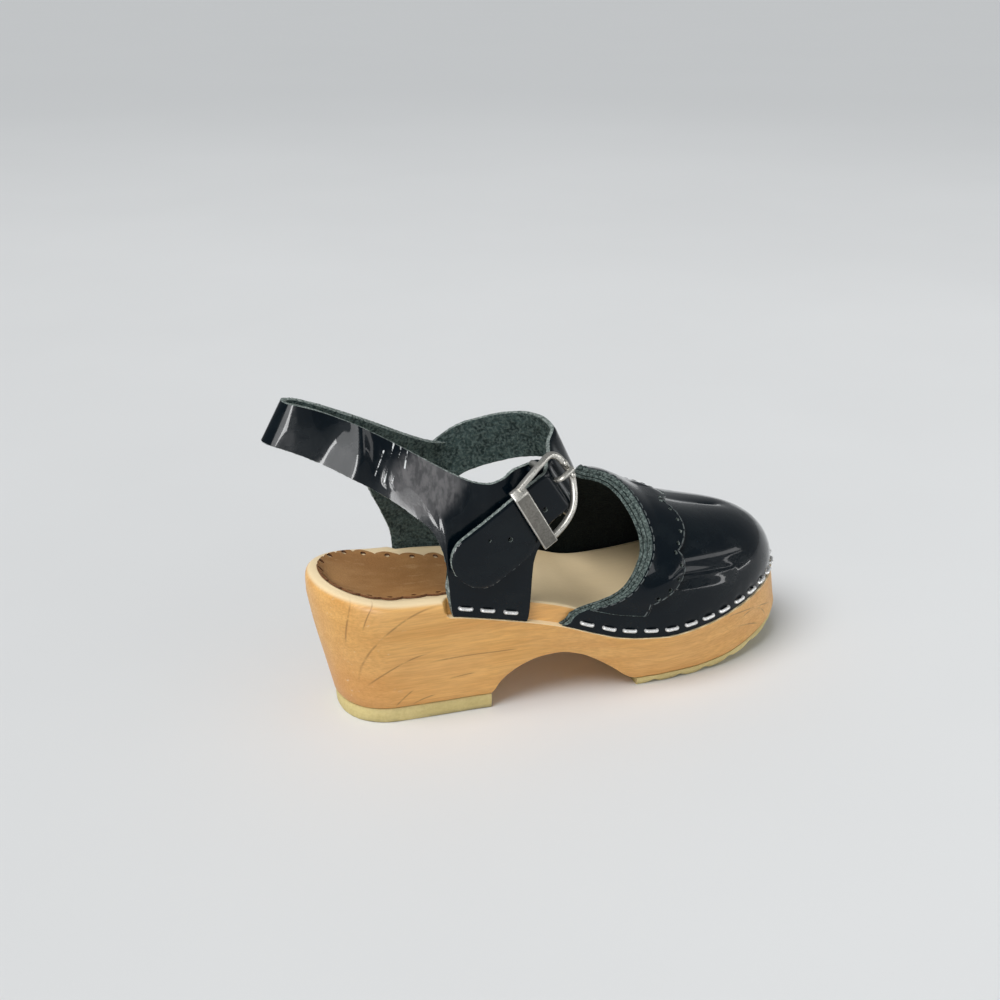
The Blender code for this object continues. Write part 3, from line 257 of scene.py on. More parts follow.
# Staples
STAPLE_RADIUS, STAPLE_FLAT, STAPLE_SEAT, STAPLE_SIDES = 0.65, 0.85, 0.75, 10
STAPLE_RISE = {"vamp": 2.4, "tab": 3.2}
STAPLE_PITCH, VAMP_STAPLE_START_X = 8.1, 97.0
STAPLE_FIRST_SHARE, STAPLE_SHARE_STEP, STAPLE_EDGE_STEPS = 0.03, 0.004, 300
TAB_STAPLE_X, TAB_STAPLE_STEPS, TAB_FOOT_BAND = (53.1, 61.2, 70.0), 40, 1.0
TAB_STAPLE_FALL, TAB_STAPLE_LEAN = -0.24, 0.03
STAPLE_ROWS = (              # along and out of the bent wire's middle line
    (-2.25, -1.3), (-2.25, -0.5), (-2.1, -0.12), (-1.7, 0.06), (-0.9, 0.12),
    (0.9, 0.12), (1.7, 0.06), (2.1, -0.12), (2.25, -0.5), (2.25, -1.3),
)

# Colours of the finishes and the floor, linear
WOOD_PALE, WOOD_HONEY = (0.95, 0.53, 0.150), (0.81, 0.40, 0.094)
WOOD_CLOUD, WOOD_FIBRE = (0.90, 0.52, 0.19), (0.58, 0.27, 0.065)
# the first colour on the next line is painted shade for the heel's back low down
WOOD_PAINTED_SHADE, WOOD_NICK = (0.66, 0.27, 0.062), (0.90, 0.76, 0.54)
# the first colour on the next line is painted light for the wood's faces that turn up
WOOD_PAINTED_TOP_LIGHT, WOOD_RING = (1.0, 0.84, 0.55), (0.36, 0.155, 0.034)
GUM_PALE, GUM_DULL = (0.76, 0.63, 0.28), (0.64, 0.52, 0.21)
# the second colour on the next line darkens the rubber towards the floor
GUM_PORE, GUM_LOW_DARK = (0.44, 0.34, 0.13), (0.24, 0.20, 0.12)
PAD_WORN, PAD_BROWN = (0.50, 0.262, 0.096), (0.38, 0.183, 0.060)
PAD_GRAIN, PAD_RUBBED = (0.25, 0.105, 0.038), (0.62, 0.38, 0.18)
PAD_FUZZ, PAD_FUZZ_DEEP = (0.220, 0.095, 0.036), (0.120, 0.048, 0.018)
PATENT_BLACK, PATENT_CLOUD = (0.0012, 0.0046, 0.0082), (0.0030, 0.0072, 0.0105)
# the first colour on the next line is the scuff's pale grey, partly a painted reflection
# the second colour on the next line is the near-white painted highlight of the cracks
PATENT_SCUFF_AND_REFLECTION, PATENT_CRACK_HIGHLIGHT = (0.175, 0.170, 0.173), (0.86, 0.88, 0.88)
STEEL_BRIGHT, STEEL_RUBBED = (0.90, 0.90, 0.89), (0.66, 0.66, 0.65)
THREAD_BLACK, THREAD_SHEEN = (0.030, 0.040, 0.042), (0.110, 0.130, 0.130)
FLOOR_GREY, FLOOR_PALE = (0.74, 0.75, 0.755), (0.77, 0.78, 0.785)
# the next colour is painted shade: the floor darkens with distance from the shoe
FLOOR_PAINTED_FALLOFF = (0.62, 0.632, 0.64)

# Stage and lights, in metres and watts
FLOOR_SIZE = 24.0
SKY_COLOUR, SKY_STRENGTH = (0.90, 0.93, 0.95, 1.0), 0.30
KEY_PLACE, KEY_STRENGTH, KEY_ANGLE = (-0.50, -0.22, 1.0), 2.4, math.radians(38.0)
SHOE_AIM, STRAP_AIM, TOE_AIM = (0.05, 0.0, 0.04), (-0.02, -0.01, 0.10), (0.11, -0.03, 0.045)
PANEL_ROWS = (               # name, place, aim, size, power, whether it lights more than the gloss
    ("window_dim", (-0.43, -0.81, 0.30), STRAP_AIM, (0.34, 0.70), 6.0, False),
    ("window_bright", (-0.29, -0.868, 0.12), STRAP_AIM, (0.06, 0.26), 1.6, False),
    ("toe_card", (0.704, -0.401, 0.288), TOE_AIM, (0.74, 0.10), 0.85, True),
    ("lobe_card", (0.430, -0.800, 0.250), TOE_AIM, (0.26, 0.17), 0.50, False),
    ("toe_strip_middle", (0.704, -0.401, 0.175), TOE_AIM, (0.70, 0.012), 0.16, False),
    ("toe_strip_low", (0.704, -0.401, 0.010), TOE_AIM, (0.70, 0.012), 0.30, False),
)

# Camera, fitted to the sole's and the upper's edges
CAMERA_PLACE = (-68.56, -385.57, 247.03)
CAMERA_YAW, CAMERA_PITCH = 0.3572, 0.4036
CAMERA_LENS, CAMERA_SENSOR = 45.0, 36.0


def monotone_curve(rows, column):
    """Smooth curve through a table's column against its first, which never overshoots a row."""
    xs = np.array([row[0] for row in rows], float)
    ys = np.array([row[column] for row in rows], float)
    step = np.diff(xs)
    slope = np.diff(ys) / step
    tangent = np.zeros_like(ys)
    tangent[0], tangent[-1] = slope[0], slope[-1]
    for i in range(1, len(xs) - 1):
        if slope[i - 1] * slope[i] > 0:
            tangent[i] = 2 * slope[i - 1] * slope[i] / (slope[i - 1] + slope[i])

    def value(x):
        x = min(max(x, xs[0]), xs[-1])
        i = min(int(np.searchsorted(xs, x, side="right")) - 1, len(xs) - 2)
        s = (x - xs[i]) / step[i]
        start = (1 + 2 * s) * (1 - s) ** 2 * ys[i] + s * (1 - s) ** 2 * step[i] * tangent[i]
        end = s * s * (3 - 2 * s) * ys[i + 1] + s * s * (s - 1) * step[i] * tangent[i + 1]
        return start + end
    return value


def smooth_step(x, start, end):
    s = min(max((x - start) / (end - start), 0.0), 1.0)
    return s * s * (3 - 2 * s)


def blend(a, b, share):
    return a + (b - a) * share


def smooth_path(rows, steps):
    """Points of a smooth curve through the rows, with a number of steps from row to row."""
    numbered = [(k, *row) for k, row in enumerate(rows)]
    curves = [monotone_curve(numbered, column) for column in range(1, len(rows[0]) + 1)]
    places = [k / steps for k in range((len(rows) - 1) * steps + 1)]
    return [tuple(curve(place) for curve in curves) for place in places]


def straight_path(rows, steps):
    """Points on straight lines from row to row."""
    path = []
    for a, b in zip(rows, rows[1:]):
        path += [tuple(blend(p, q, k / steps) for p, q in zip(a, b)) for k in range(steps)]
    return path + [tuple(rows[-1])]


half_width = {OUTER: monotone_curve(PLAN_ROWS, 1), INNER: monotone_curve(PLAN_ROWS, 2)}
ledge_height = monotone_curve(SIDE_ROWS, 1)
top_edge_height = monotone_curve(SIDE_ROWS, 2)
bottom_tuck = monotone_curve(SIDE_ROWS, 3)
bottom_height = monotone_curve(BOTTOM_ROWS, 1)
dish_depth = monotone_curve(DISH_ROWS, 1)
ridge_height = monotone_curve(RIDGE_ROWS, 1)
throat_x = {OUTER: monotone_curve(THROAT_ROWS, 1), INNER: monotone_curve(THROAT_ROWS, 2)}
tail_low = monotone_curve(TAIL_LOW_ROWS, 1)
pad_margin = {OUTER: monotone_curve(PAD_MARGIN_ROWS, 1), INNER: monotone_curve(PAD_MARGIN_ROWS, 2)}


# The last: station u runs from -1 at the heel's back, over 0 to 1 in the body, to 2 at the toe's tip
def station(x):
    return (x - HEEL_ROUND_X) / (BALL_X - HEEL_ROUND_X)


def swing(x):
    return TOE_SWING * max(0.0, (x - SWING_START_X) / SWING_REACH) ** 2


def outline(u, side):
    if u < 0:
        angle = -u * math.pi / 2
        x = blend(HEEL_ROUND_X, HEEL_BACK_X, math.sin(angle) ** (2 / HEEL_POWER))
        y = half_width[side](HEEL_ROUND_X) * max(0.0, math.cos(angle)) ** (2 / HEEL_POWER)
        return np.array([x, side * y])
    if u <= 1:
        x = blend(HEEL_ROUND_X, BALL_X, u)
        return np.array([x, side * half_width[side](x) + swing(x)])
    angle = (u - 1) * math.pi / 2
    power = 2 / TOE_POWER[side]
    x = blend(BALL_X, TOE_TIP_X, math.sin(angle) ** power)
    y = half_width[side](BALL_X) * max(0.0, math.cos(angle)) ** power
    return np.array([x, side * y + swing(x)])


def inset_outline(u, side, inset):
    point = outline(u, side)
    if u <= -1:
        return point + np.array([inset, 0.0])
    if u >= 2:
        return point - np.array([inset, 0.0])
    step = 0.004
    along = outline(min(u + step, 2), side) - outline(max(u - step, -1), side)
    along = along / np.linalg.norm(along)
    return point + inset * side * np.array([along[1], -along[0]])


def spine(u):
    if u < 0:
        x = blend(HEEL_ROUND_X, HEEL_SPINE_X, math.sin(-u * math.pi / 2))
    elif u <= 1:
        x = blend(HEEL_ROUND_X, BALL_X, u)
    else:
        x = blend(BALL_X, TOE_SPINE_X, math.sin((u - 1) * math.pi / 2))
    return np.array([x, swing(x)])


def half_stations(front=TOE_TIP):
    """Stations from the heel's back to a front end, close together round heel and toe."""
    heel = [-1 + k / HEEL_STEPS for k in range(HEEL_STEPS)]
    body = [k / BODY_STEPS for k in range(BODY_STEPS)]
    toe = [1 + k / TOE_STEPS for k in range(TOE_STEPS + 1)]
    return [u for u in heel + body + toe if u < front - 1e-6] + [front]


def both_sides(half):
    """Stations along the outer side and back along the inner side, with the last one once."""
    return [(u, OUTER) for u in half] + [(u, INNER) for u in reversed(half[:-1])]


def run_along(points):
    """Distance along a row of points, from the first to each."""
    return np.r_[0.0, np.cumsum(np.linalg.norm(np.diff(points, axis=0), axis=1))]


def line_distance(points, start, end):
    """Distance of each point from a straight line between two places."""
    start = np.array(start)
    run = np.array(end) - start
    share = np.clip(((points - start) @ run) / max(run @ run, 1e-9), 0.0, 1.0)
    return np.linalg.norm(points - start - share[..., None] * run, axis=-1)


def crease_height(points, creases):
    """Height of soft ridges, or depth of soft troughs, on a grid of places."""
    height = np.zeros(points.shape[:-1])
    for start, end, width, rise in creases:
        height += rise * np.exp(-(line_distance(points, start, end) / width) ** 2)
    return height


def staple_dents(places):
    """Creases of no length that draw the leather in round the staples."""
    return tuple((place, place, DENT_REACH, -DENT_DEPTH) for place, _, _ in places)


# Making of meshes
def let_go():
    bpy.ops.object.select_all(action="DESELECT")


def take_up(thing):
    let_go()
    thing.select_set(True)
    bpy.context.view_layer.objects.active = thing


def lay_sheet(name, rows, finish_of=None):
    """A grid whose points are laid on rows of places on the last; finish_of gives each face its finish."""
    points = np.array(rows, float)
    along, across = points.shape[0] - 1, points.shape[1] - 1
    let_go()
    bpy.ops.mesh.primitive_grid_add(x_subdivisions=across, y_subdivisions=along, size=1.0)
    thing = bpy.context.object
    thing.name = name
    mesh = thing.data
    mesh.name = name
    flat = np.empty(len(mesh.vertices) * 3)
    mesh.vertices.foreach_get("co", flat)
    places = flat.reshape(-1, 3) + 0.5
    column = np.rint(places[:, 0] * across).astype(int)
    line = np.rint(places[:, 1] * along).astype(int)
    mesh.vertices.foreach_set("co", ((points[line, column] - LAST_SHIFT) * MM).ravel())
    if finish_of is not None:
        corners = np.empty(len(mesh.loops), int)
        mesh.loops.foreach_get("vertex_index", corners)
        corners = corners.reshape(-1, 4)
        numbers = finish_of(line[corners].min(axis=1), column[corners].min(axis=1))
        mesh.polygons.foreach_set("material_index", numbers.astype(int))
    mesh.update()
    return thing


def weld(thing, outward=None):
    """Merges doubles and turns the faces outwards; outward gives an open sheet's or a wall's own side."""
    take_up(thing)
    bpy.ops.object.mode_set(mode="EDIT")
    bpy.ops.mesh.select_all(action="SELECT")
    bpy.ops.mesh.remove_doubles(threshold=0.003 * MM)
    if outward is None:
        bpy.ops.mesh.normals_make_consistent(inside=False)
    bpy.ops.object.mode_set(mode="OBJECT")
    if outward is not None:
        lean = sum(face.normal.dot(Vector(outward(np.array(face.center) / MM + LAST_SHIFT))) * face.area
                   for face in thing.data.polygons if face.material_index == 0)
        if lean < 0:
            bpy.ops.object.mode_set(mode="EDIT")
            bpy.ops.mesh.select_all(action="SELECT")
            bpy.ops.mesh.flip_normals()
            bpy.ops.object.mode_set(mode="OBJECT")
    return thing


def sheet_normals(points, outward):
    """Unit normals of a grid of places, on the side that outward gives."""
    normals = np.cross(np.gradient(points, axis=0), np.gradient(points, axis=1))
    normals /= np.maximum(np.linalg.norm(normals, axis=2), 1e-12)[:, :, None]
    wanted = np.array([[outward(point) for point in row] for row in points], float)
    return normals * np.sign((normals * wanted).sum(axis=2).sum())


def edge_out(edge, beside):
    """Unit directions that lead out over a sheet's edge."""
    away = edge - beside
    return away / np.maximum(np.linalg.norm(away, axis=-1), 1e-9)[..., None]


def lay_wall(name, face, back, outward, front_open=False):
    """Closed leather wall between a face and a back, with frayed round edges: finishes face, flesh, edge."""
    face, back = np.array(face, float), np.array(back, float)
    columns = face.shape[1]
    dice = np.random.default_rng(len(name) + columns)
    shares = [(k + 1) / (RIM_STEPS + 1) for k in range(RIM_STEPS)]

    def rim(start, end, away):
        between = []
        for share in shares:
            round_out = RIM_ROUND * math.sin(math.pi * share)
            fray = dice.normal(0.0, RIM_FRAY, np.shape(start))
            between.append(blend(start, end, share) + round_out * away + fray)
        return between

    ends_out = edge_out(face[:, -1], face[:, -2]), edge_out(face[:, 0], face[:, 1])
    right = np.array(rim(face[:, -1], back[:, -1], ends_out[0]))
    left = np.array(rim(back[:, 0], face[:, 0], ends_out[1]))
    rows = [np.concatenate([face[k], right[:, k], back[k, ::-1], left[:, k], face[k, :1]])
            for k in range(len(face))]

    def cap(line, beside):
        between = rim(face[line], back[line], edge_out(face[line], face[beside])) + [back[line]]
        closing = []
        for row in between:
            sides = [np.repeat(back[line][[place]], RIM_STEPS, axis=0) for place in (-1, 0)]
            closing.append(np.concatenate([row, sides[0], back[line, ::-1], sides[1], row[:1]]))
        return closing

    first = cap(0, 1)[::-1]
    last = [] if front_open else cap(-1, -2)
    count = len(first) + len(rows) + len(last)

    def finish_of(line, column):
        numbers = np.full(line.shape, 2)
        numbers[column < columns - 1] = 0
        inside = (column >= columns + RIM_STEPS) & (column < 2 * columns + RIM_STEPS - 1)
        numbers[inside] = 1
        capped = (line < len(first)) | (line >= count - 1 - len(last))
        numbers[capped & ~inside] = 2
        return numbers

    return weld(lay_sheet(name, first + rows + last, finish_of), outward)


def apply_modifier(thing, modifier):
    take_up(thing)
    bpy.ops.object.modifier_apply(modifier=modifier.name)


def thicken(thing, thickness, offset):
    """Gives a sheet its wall: the back takes the second finish and the rim the third."""
    shell = thing.modifiers.new("wall", "SOLIDIFY")
    shell.thickness = thickness * MM
    shell.offset = offset
    shell.use_even_offset = False
    shell.use_quality_normals = True
    shell.material_offset = 1
    shell.material_offset_rim = 2
    apply_modifier(thing, shell)


def ease_edges(thing, width, segments=2, angle=50.0, finish_number=-1):
    easing = thing.modifiers.new("eased_edges", "BEVEL")
    easing.material = finish_number
    easing.width = width * MM
    easing.segments = segments
    easing.limit_method = "ANGLE"
    easing.angle_limit = math.radians(angle)
    apply_modifier(thing, easing)


def cut_with(thing, cutter):
    """Cuts a closed piece with another, which lends its finish to the cut."""
    cut = thing.modifiers.new("cut", "BOOLEAN")
    cut.operation = "DIFFERENCE"
    cut.solver = "EXACT"
    cut.material_mode = "TRANSFER"
    cut.object = cutter
    apply_modifier(thing, cut)
    bpy.data.objects.remove(cutter, do_unlink=True)


def give_finishes(thing, *finishes):
    for finish in finishes:
        thing.data.materials.append(finish)


def hand_in(thing, nodes=(), angle=38.0):
    take_up(thing)
    bpy.ops.object.shade_smooth_by_angle(angle=math.radians(angle))
    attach(thing, "root")
    if nodes:
        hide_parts(*nodes)
    return thing


def tube_rows(path, radii, sides, up, flat=1.0):
    """Rings of points round a path, closed at both ends on its middle line."""
    path = np.array(path, float)
    radii = np.broadcast_to(radii, len(path))
    along = np.gradient(path, axis=0)
    along /= np.linalg.norm(along, axis=1)[:, None]
    rows = [[path[0]] * (sides + 1)]
    reference = np.array(up, float)
    for point, direction, radius in zip(path, along, radii):
        across = np.cross(direction, reference)
        across /= np.linalg.norm(across)
        reference = np.cross(across, direction)
        angles = [2 * math.pi * k / sides for k in range(sides + 1)]
        rows.append([point + radius * (flat * math.cos(a) * across + math.sin(a) * reference)
                     for a in angles])
    rows.append([path[-1]] * (sides + 1))
    return rows


def lay_tube(name, path, radii, sides, up):
    return weld(lay_sheet(name, tube_rows(path, radii, sides, up)))


def lay_model(name, rows, radius, sides, up=(0.0, 0.0, 1.0), flat=1.0):
    """A bent wire or thread at the part's origin, to be copied: rows give along and out."""
    path = [(along, 0.0, out) for along, out in rows]
    return weld(lay_sheet(name, np.array(tube_rows(path, radius, sides, up, flat)) + LAST_SHIFT))


def copies_joined(name, model, places):
    """One mesh that holds a copy of the model at each place; the model is removed."""
    source = model.data
    flat = np.empty(len(source.vertices) * 3)
    source.vertices.foreach_get("co", flat)
    points = np.c_[flat.reshape(-1, 3), np.ones(len(source.vertices))]
    faces = [list(face.vertices) for face in source.polygons]
    all_points, all_faces = [], []
    for place in places:
        shift = len(all_points) * len(points)
        all_points.append((points @ np.array(place).T)[:, :3])
        all_faces += [[corner + shift for corner in face] for face in faces]
    mesh = bpy.data.meshes.new(name)
    mesh.from_pydata(np.concatenate(all_points).tolist(), [], all_faces)
    for finish in source.materials:
        mesh.materials.append(finish)
    thing = bpy.data.objects.new(name, mesh)
    bpy.context.scene.collection.objects.link(thing)
    bpy.data.objects.remove(model, do_unlink=True)
    return thing


def stand(point, along, out):
    """Place in metres whose x follows along and whose z points out, at a point of the last."""
    along = Vector(along).normalized()
    out = Vector(out)
    out = (out - along * out.dot(along)).normalized()
    turn = Matrix((along, out.cross(along), out)).transposed().to_4x4()
    return Matrix.Translation(Vector((np.array(point) - LAST_SHIFT) * MM)) @ turn


# Finishes
def feed(tree, socket, value):
    """Links a socket to another or gives it a value."""
    if isinstance(value, bpy.types.NodeSocket):
        tree.links.new(value, socket)
    else:
        socket.default_value = value


def new_group(name, places, values):
    """A node group that puts out a mask, with its vector and number inputs."""
    tree = bpy.data.node_groups.new(name, "ShaderNodeTree")
    for names, kind in ((places, "NodeSocketVector"), (values, "NodeSocketFloat")):
        for label in names:
            tree.interface.new_socket(label, in_out="INPUT", socket_type=kind)
    tree.interface.new_socket("Mask", in_out="OUTPUT", socket_type="NodeSocketFloat")
    return tree, tree.nodes.new("NodeGroupInput").outputs, tree.nodes.new("NodeGroupOutput").inputs


def add_step(tree, kind, operation, *inputs, clamp=False):
    made = tree.nodes.new(kind)
    made.operation = operation
    for socket, value in zip(made.inputs, inputs):
        feed(tree, socket, value)
    if clamp:
        made.use_clamp = True
    return made.outputs


def add_spread(tree, value, low, high, start=0.0, end=1.0):
    """A smooth change from start to end while a value goes from low to high."""
    made = tree.nodes.new("ShaderNodeMapRange")
    made.interpolation_type = "SMOOTHSTEP"
    ends = (("From Min", low), ("From Max", high), ("To Min", start), ("To Max", end))
    for key, entry in (("Value", value), *ends):
        feed(tree, made.inputs[key], entry)
    return made.outputs["Result"]


def make_speckle_group():
    """Smooth noise on stretched coordinates, held between a low and a high value."""
    tree, entry, leave = new_group("speckle", ("Place", "Stretch"), ("Low", "High"))
    noise = tree.nodes.new("ShaderNodeTexNoise")
    noise.inputs["Scale"].default_value = 1.0
    noise.inputs["Detail"].default_value = 4.0
    noise.inputs["Roughness"].default_value = 0.6
    scaled = add_step(tree, "ShaderNodeVectorMath", "MULTIPLY", entry["Place"], entry["Stretch"])
    feed(tree, noise.inputs["Vector"], scaled[0])
    feed(tree, leave["Mask"], add_spread(tree, noise.outputs["Fac"], entry["Low"], entry["High"]))
    return tree


def make_line_group():
    """Mask of a thin line from a start to an end, with soft edges."""
    tree, entry, leave = new_group("worn_line", ("Place", "Start", "Run"), ("Per Length", "Width"))
    off = add_step(tree, "ShaderNodeVectorMath", "SUBTRACT", entry["Place"], entry["Start"])
    dot = add_step(tree, "ShaderNodeVectorMath", "DOT_PRODUCT", off[0], entry["Run"])
    share = add_step(tree, "ShaderNodeMath", "MULTIPLY", dot["Value"], entry["Per Length"], clamp=True)
    foot = tree.nodes.new("ShaderNodeVectorMath")
    foot.operation = "SCALE"
    feed(tree, foot.inputs[0], entry["Run"])
    feed(tree, foot.inputs["Scale"], share[0])
    gap = add_step(tree, "ShaderNodeVectorMath", "DISTANCE", off[0], foot.outputs[0])
    feed(tree, leave["Mask"], add_spread(tree, gap["Value"], 0.0, entry["Width"], 1.0, 0.0))
    return tree


def make_ring_group():
    """Mask of a growth ring in the sole's length and height, fading away from the middle of its arc."""
    places, values = ("Place", "Centre", "Middle"), ("Radius", "Width", "Reach")
    tree, entry, leave = new_group("growth_ring", places, values)
    flat = add_step(tree, "ShaderNodeVectorMath", "MULTIPLY", entry["Place"], (1.0, 0.0, 1.0))
    from_centre = add_step(tree, "ShaderNodeVectorMath", "DISTANCE", flat[0], entry["Centre"])
    from_middle = add_step(tree, "ShaderNodeVectorMath", "DISTANCE", flat[0], entry["Middle"])
    off = add_step(tree, "ShaderNodeMath", "SUBTRACT", from_centre["Value"], entry["Radius"])
    off = add_step(tree, "ShaderNodeMath", "ABSOLUTE", off[0])
    arc = add_spread(tree, off[0], 0.0, entry["Width"], 1.0, 0.0)
    near = add_spread(tree, from_middle["Value"], 0.0, entry["Reach"], 1.0, 0.0)
    rise = add_step(tree, "ShaderNodeMath", "MULTIPLY", near, RING_RISE, clamp=True)
    feed(tree, leave["Mask"], add_step(tree, "ShaderNodeMath", "MULTIPLY", arc, rise[0])[0])
    return tree


SPECKLE, WORN_LINE, GROWTH_RING = make_speckle_group(), make_line_group(), make_ring_group()


class Finish:
    """A material under way: its node tree, its shader and the piece's own coordinates."""

    def __init__(self, name):
        self.material = bpy.data.materials.new(name)
        self.material.use_nodes = True
        self.tree = self.material.node_tree
        self.shader = self.tree.nodes["Principled BSDF"]
        self.place = self.node("ShaderNodeTexCoord").outputs["Object"]

    def node(self, kind, inputs=None, **settings):
        made = self.tree.nodes.new(kind)
        for key, value in settings.items():
            setattr(made, key, value)
        for key, value in (inputs or {}).items():
            self.put(made.inputs[key], value)
        return made

    def put(self, socket, value):
        feed(self.tree, socket, value)

    def speckle(self, stretch, low=0.35, high=0.65):
        inputs = {"Place": self.place, "Stretch": stretch, "Low": low, "High": high}
        return self.node("ShaderNodeGroup", inputs, node_tree=SPECKLE).outputs["Mask"]

    def maths(self, operation, a, b=0.0):
        return add_step(self.tree, "ShaderNodeMath", operation, a, b)[0]

    def spread(self, value, low, high, start=0.0, end=1.0):
        return add_spread(self.tree, value, low, high, start, end)

    def mix(self, share, first, second):
        made = self.node("ShaderNodeMix", data_type="RGBA")
        self.put(made.inputs["Factor"], share)
        self.put(made.inputs[6], first if isinstance(first, bpy.types.NodeSocket) else (*first, 1.0))
        self.put(made.inputs[7], second if isinstance(second, bpy.types.NodeSocket) else (*second, 1.0))
        return made.outputs[2]

    def stain(self, tone, mask, strength, colour):
        """Lays a colour over a tone where a mask says, at a strength."""
        return self.mix(self.maths("MULTIPLY", mask, strength), tone, colour)

    def axis(self, letter):
        return self.node("ShaderNodeSeparateXYZ", {"Vector": self.place}).outputs[letter]

    def line(self, start, end, width):
        """Mask of a line between two places on the last, in millimetres."""
        start = (np.array(start) - LAST_SHIFT) * MM
        run = (np.array(end) - LAST_SHIFT) * MM - start
        inputs = {"Place": self.place, "Start": start.tolist(), "Run": run.tolist(),
                  "Per Length": 1 / max(float(run @ run), 1e-12), "Width": width * MM}
        return self.node("ShaderNodeGroup", inputs, node_tree=WORN_LINE).outputs["Mask"]

    def ring(self, centre_x, centre_z, radius, start, end, width):
        """Mask of a growth ring's arc: places on the last in millimetres, ends in degrees."""
        angle = math.radians(0.5 * (start + end))
        centre = np.array([centre_x, 0.0, centre_z])
        middle = centre + radius * np.array([math.cos(angle), 0.0, math.sin(angle)])
        reach = RING_REACH * radius * math.sin(math.radians(abs(end - start)) / 4)
        made = self.node("ShaderNodeGroup", node_tree=GROWTH_RING)
        self.put(made.inputs["Place"], self.place)
        for name, value in (("Centre", centre), ("Middle", middle)):
            self.put(made.inputs[name], ((value - LAST_SHIFT) * MM).tolist())
        for name, value in (("Radius", radius), ("Width", width), ("Reach", reach)):
            self.put(made.inputs[name], value * MM)
        return made.outputs["Mask"]

    def lines(self, rows):
        masks = [self.line(*row) for row in rows]
        joined = masks[0]
        for mask in masks[1:]:
            joined = self.maths("MAXIMUM", joined, mask)
        return joined

    def bump(self, height, distance, strength=1.0, under=None):
        made = self.node("ShaderNodeBump", {"Height": height})
        made.inputs["Distance"].default_value = distance * MM
        made.inputs["Strength"].default_value = strength
        if under is not None:
            self.put(made.inputs["Normal"], under)
        return made.outputs["Normal"]

    def wear(self, **sockets):
        """Sets the shader's own sockets, named with underscores for spaces."""
        for key, value in sockets.items():
            self.put(self.shader.inputs[key.replace("_", " ").title().replace("Ior", "IOR")], value)
        return self.material


def make_wood():
    """Oiled pale hardwood: fibres along the foot, thin growth rings; painted light pales the faces that turn
    up, painted shade darkens the heel's back low down.
    """
    finish = Finish("clog_wood")
    fibres = finish.speckle((70, 1500, 1500), 0.30, 0.72)
    bands = finish.speckle((5, 130, 230), 0.34, 0.66)
    clouds = finish.speckle((28, 70, 70), 0.32, 0.68)
    rings = 0.0
    for row in GROWTH_ROWS:
        rings = finish.maths("MAXIMUM", finish.ring(*row), rings)
    rings = finish.maths("MULTIPLY", rings, finish.speckle((120, 60, 120), 0.30, 0.52))
    honey = finish.mix(bands, WOOD_PALE, WOOD_HONEY)
    honey = finish.stain(honey, clouds, 0.40, WOOD_CLOUD)
    honey = finish.stain(honey, fibres, 0.46, WOOD_FIBRE)
    # painted shade: darker low down towards the heel's back
    low = finish.spread(finish.axis("Z"), 0.034, 0.008)
    back = finish.spread(finish.axis("X"), 0.010, -0.030)
    honey = finish.stain(honey, finish.maths("MULTIPLY", low, back), 0.55, WOOD_PAINTED_SHADE)
    nicks = finish.speckle((300, 500, 520), 0.64, 0.74)
    honey = finish.stain(honey, nicks, finish.maths("MULTIPLY", back, 0.5), WOOD_NICK)
    # painted light: the wood is stained paler where its surface faces up, as where light falls on the top
    facing = finish.node("ShaderNodeNewGeometry").outputs["Normal"]
    turned = finish.node("ShaderNodeSeparateXYZ", {"Vector": facing}).outputs["Z"]
    honey = finish.stain(honey, finish.spread(turned, 0.40, 0.92), 0.82, WOOD_PAINTED_TOP_LIGHT)
    honey = finish.stain(honey, rings, 0.75, WOOD_RING)
    gloss = finish.spread(fibres, 0.0, 1.0, 0.40, 0.56)
    normal = finish.bump(finish.maths("ADD", fibres, finish.maths("MULTIPLY", rings, -1.0)), 0.05, 0.5)
    return finish.wear(base_color=honey, roughness=gloss, normal=normal, coat_weight=0.12, coat_roughness=0.3)


def make_rubber():
    """Pale gum rubber, darker towards the floor, with fine pores."""
    finish = Finish("gum_rubber")
    pores = finish.speckle((900, 900, 900), 0.38, 0.70)
    clouds = finish.speckle((60, 60, 90), 0.30, 0.70)
    tone = finish.mix(clouds, GUM_PALE, GUM_DULL)
    tone = finish.stain(tone, pores, 0.18, GUM_PORE)
    # darker within about two millimetres of the floor, mottled
    darkened_low = finish.maths("MULTIPLY", finish.spread(finish.axis("Z"), 0.0022, 0.0), clouds)
    tone = finish.stain(tone, darkened_low, 0.7, GUM_LOW_DARK)
    rough = finish.spread(pores, 0.0, 1.0, 0.62, 0.82)
    return finish.wear(base_color=tone, roughness=rough, normal=finish.bump(pores, 0.08, 0.6))


def make_pad_leather():
    """Brown lining leather with fine grain, worn clouds and pale rubbed streaks."""
    finish = Finish("pad_leather")
    grain = finish.speckle((1300, 1300, 1300), 0.30, 0.70)
    wear = finish.speckle((40, 75, 75), 0.32, 0.68)
    rubbed = finish.speckle((110, 420, 420), 0.56, 0.72)
    tone = finish.mix(wear, PAD_WORN, PAD_BROWN)
    tone = finish.stain(tone, grain, 0.20, PAD_GRAIN)
    tone = finish.stain(tone, rubbed, 0.45, PAD_RUBBED)
    rough = finish.spread(wear, 0.0, 1.0, 0.50, 0.68)
    return finish.wear(base_color=tone, roughness=rough, normal=finish.bump(grain, 0.10, 0.7))


def make_pad_cut():
    finish = Finish("pad_cut_edge")
    fuzz = finish.speckle((1500, 1500, 1500), 0.30, 0.70)
    tone = finish.mix(fuzz, PAD_FUZZ, PAD_FUZZ_DEEP)
    return finish.wear(base_color=tone, roughness=finish.spread(fuzz, 0.0, 1.0, 0.8, 0.95))


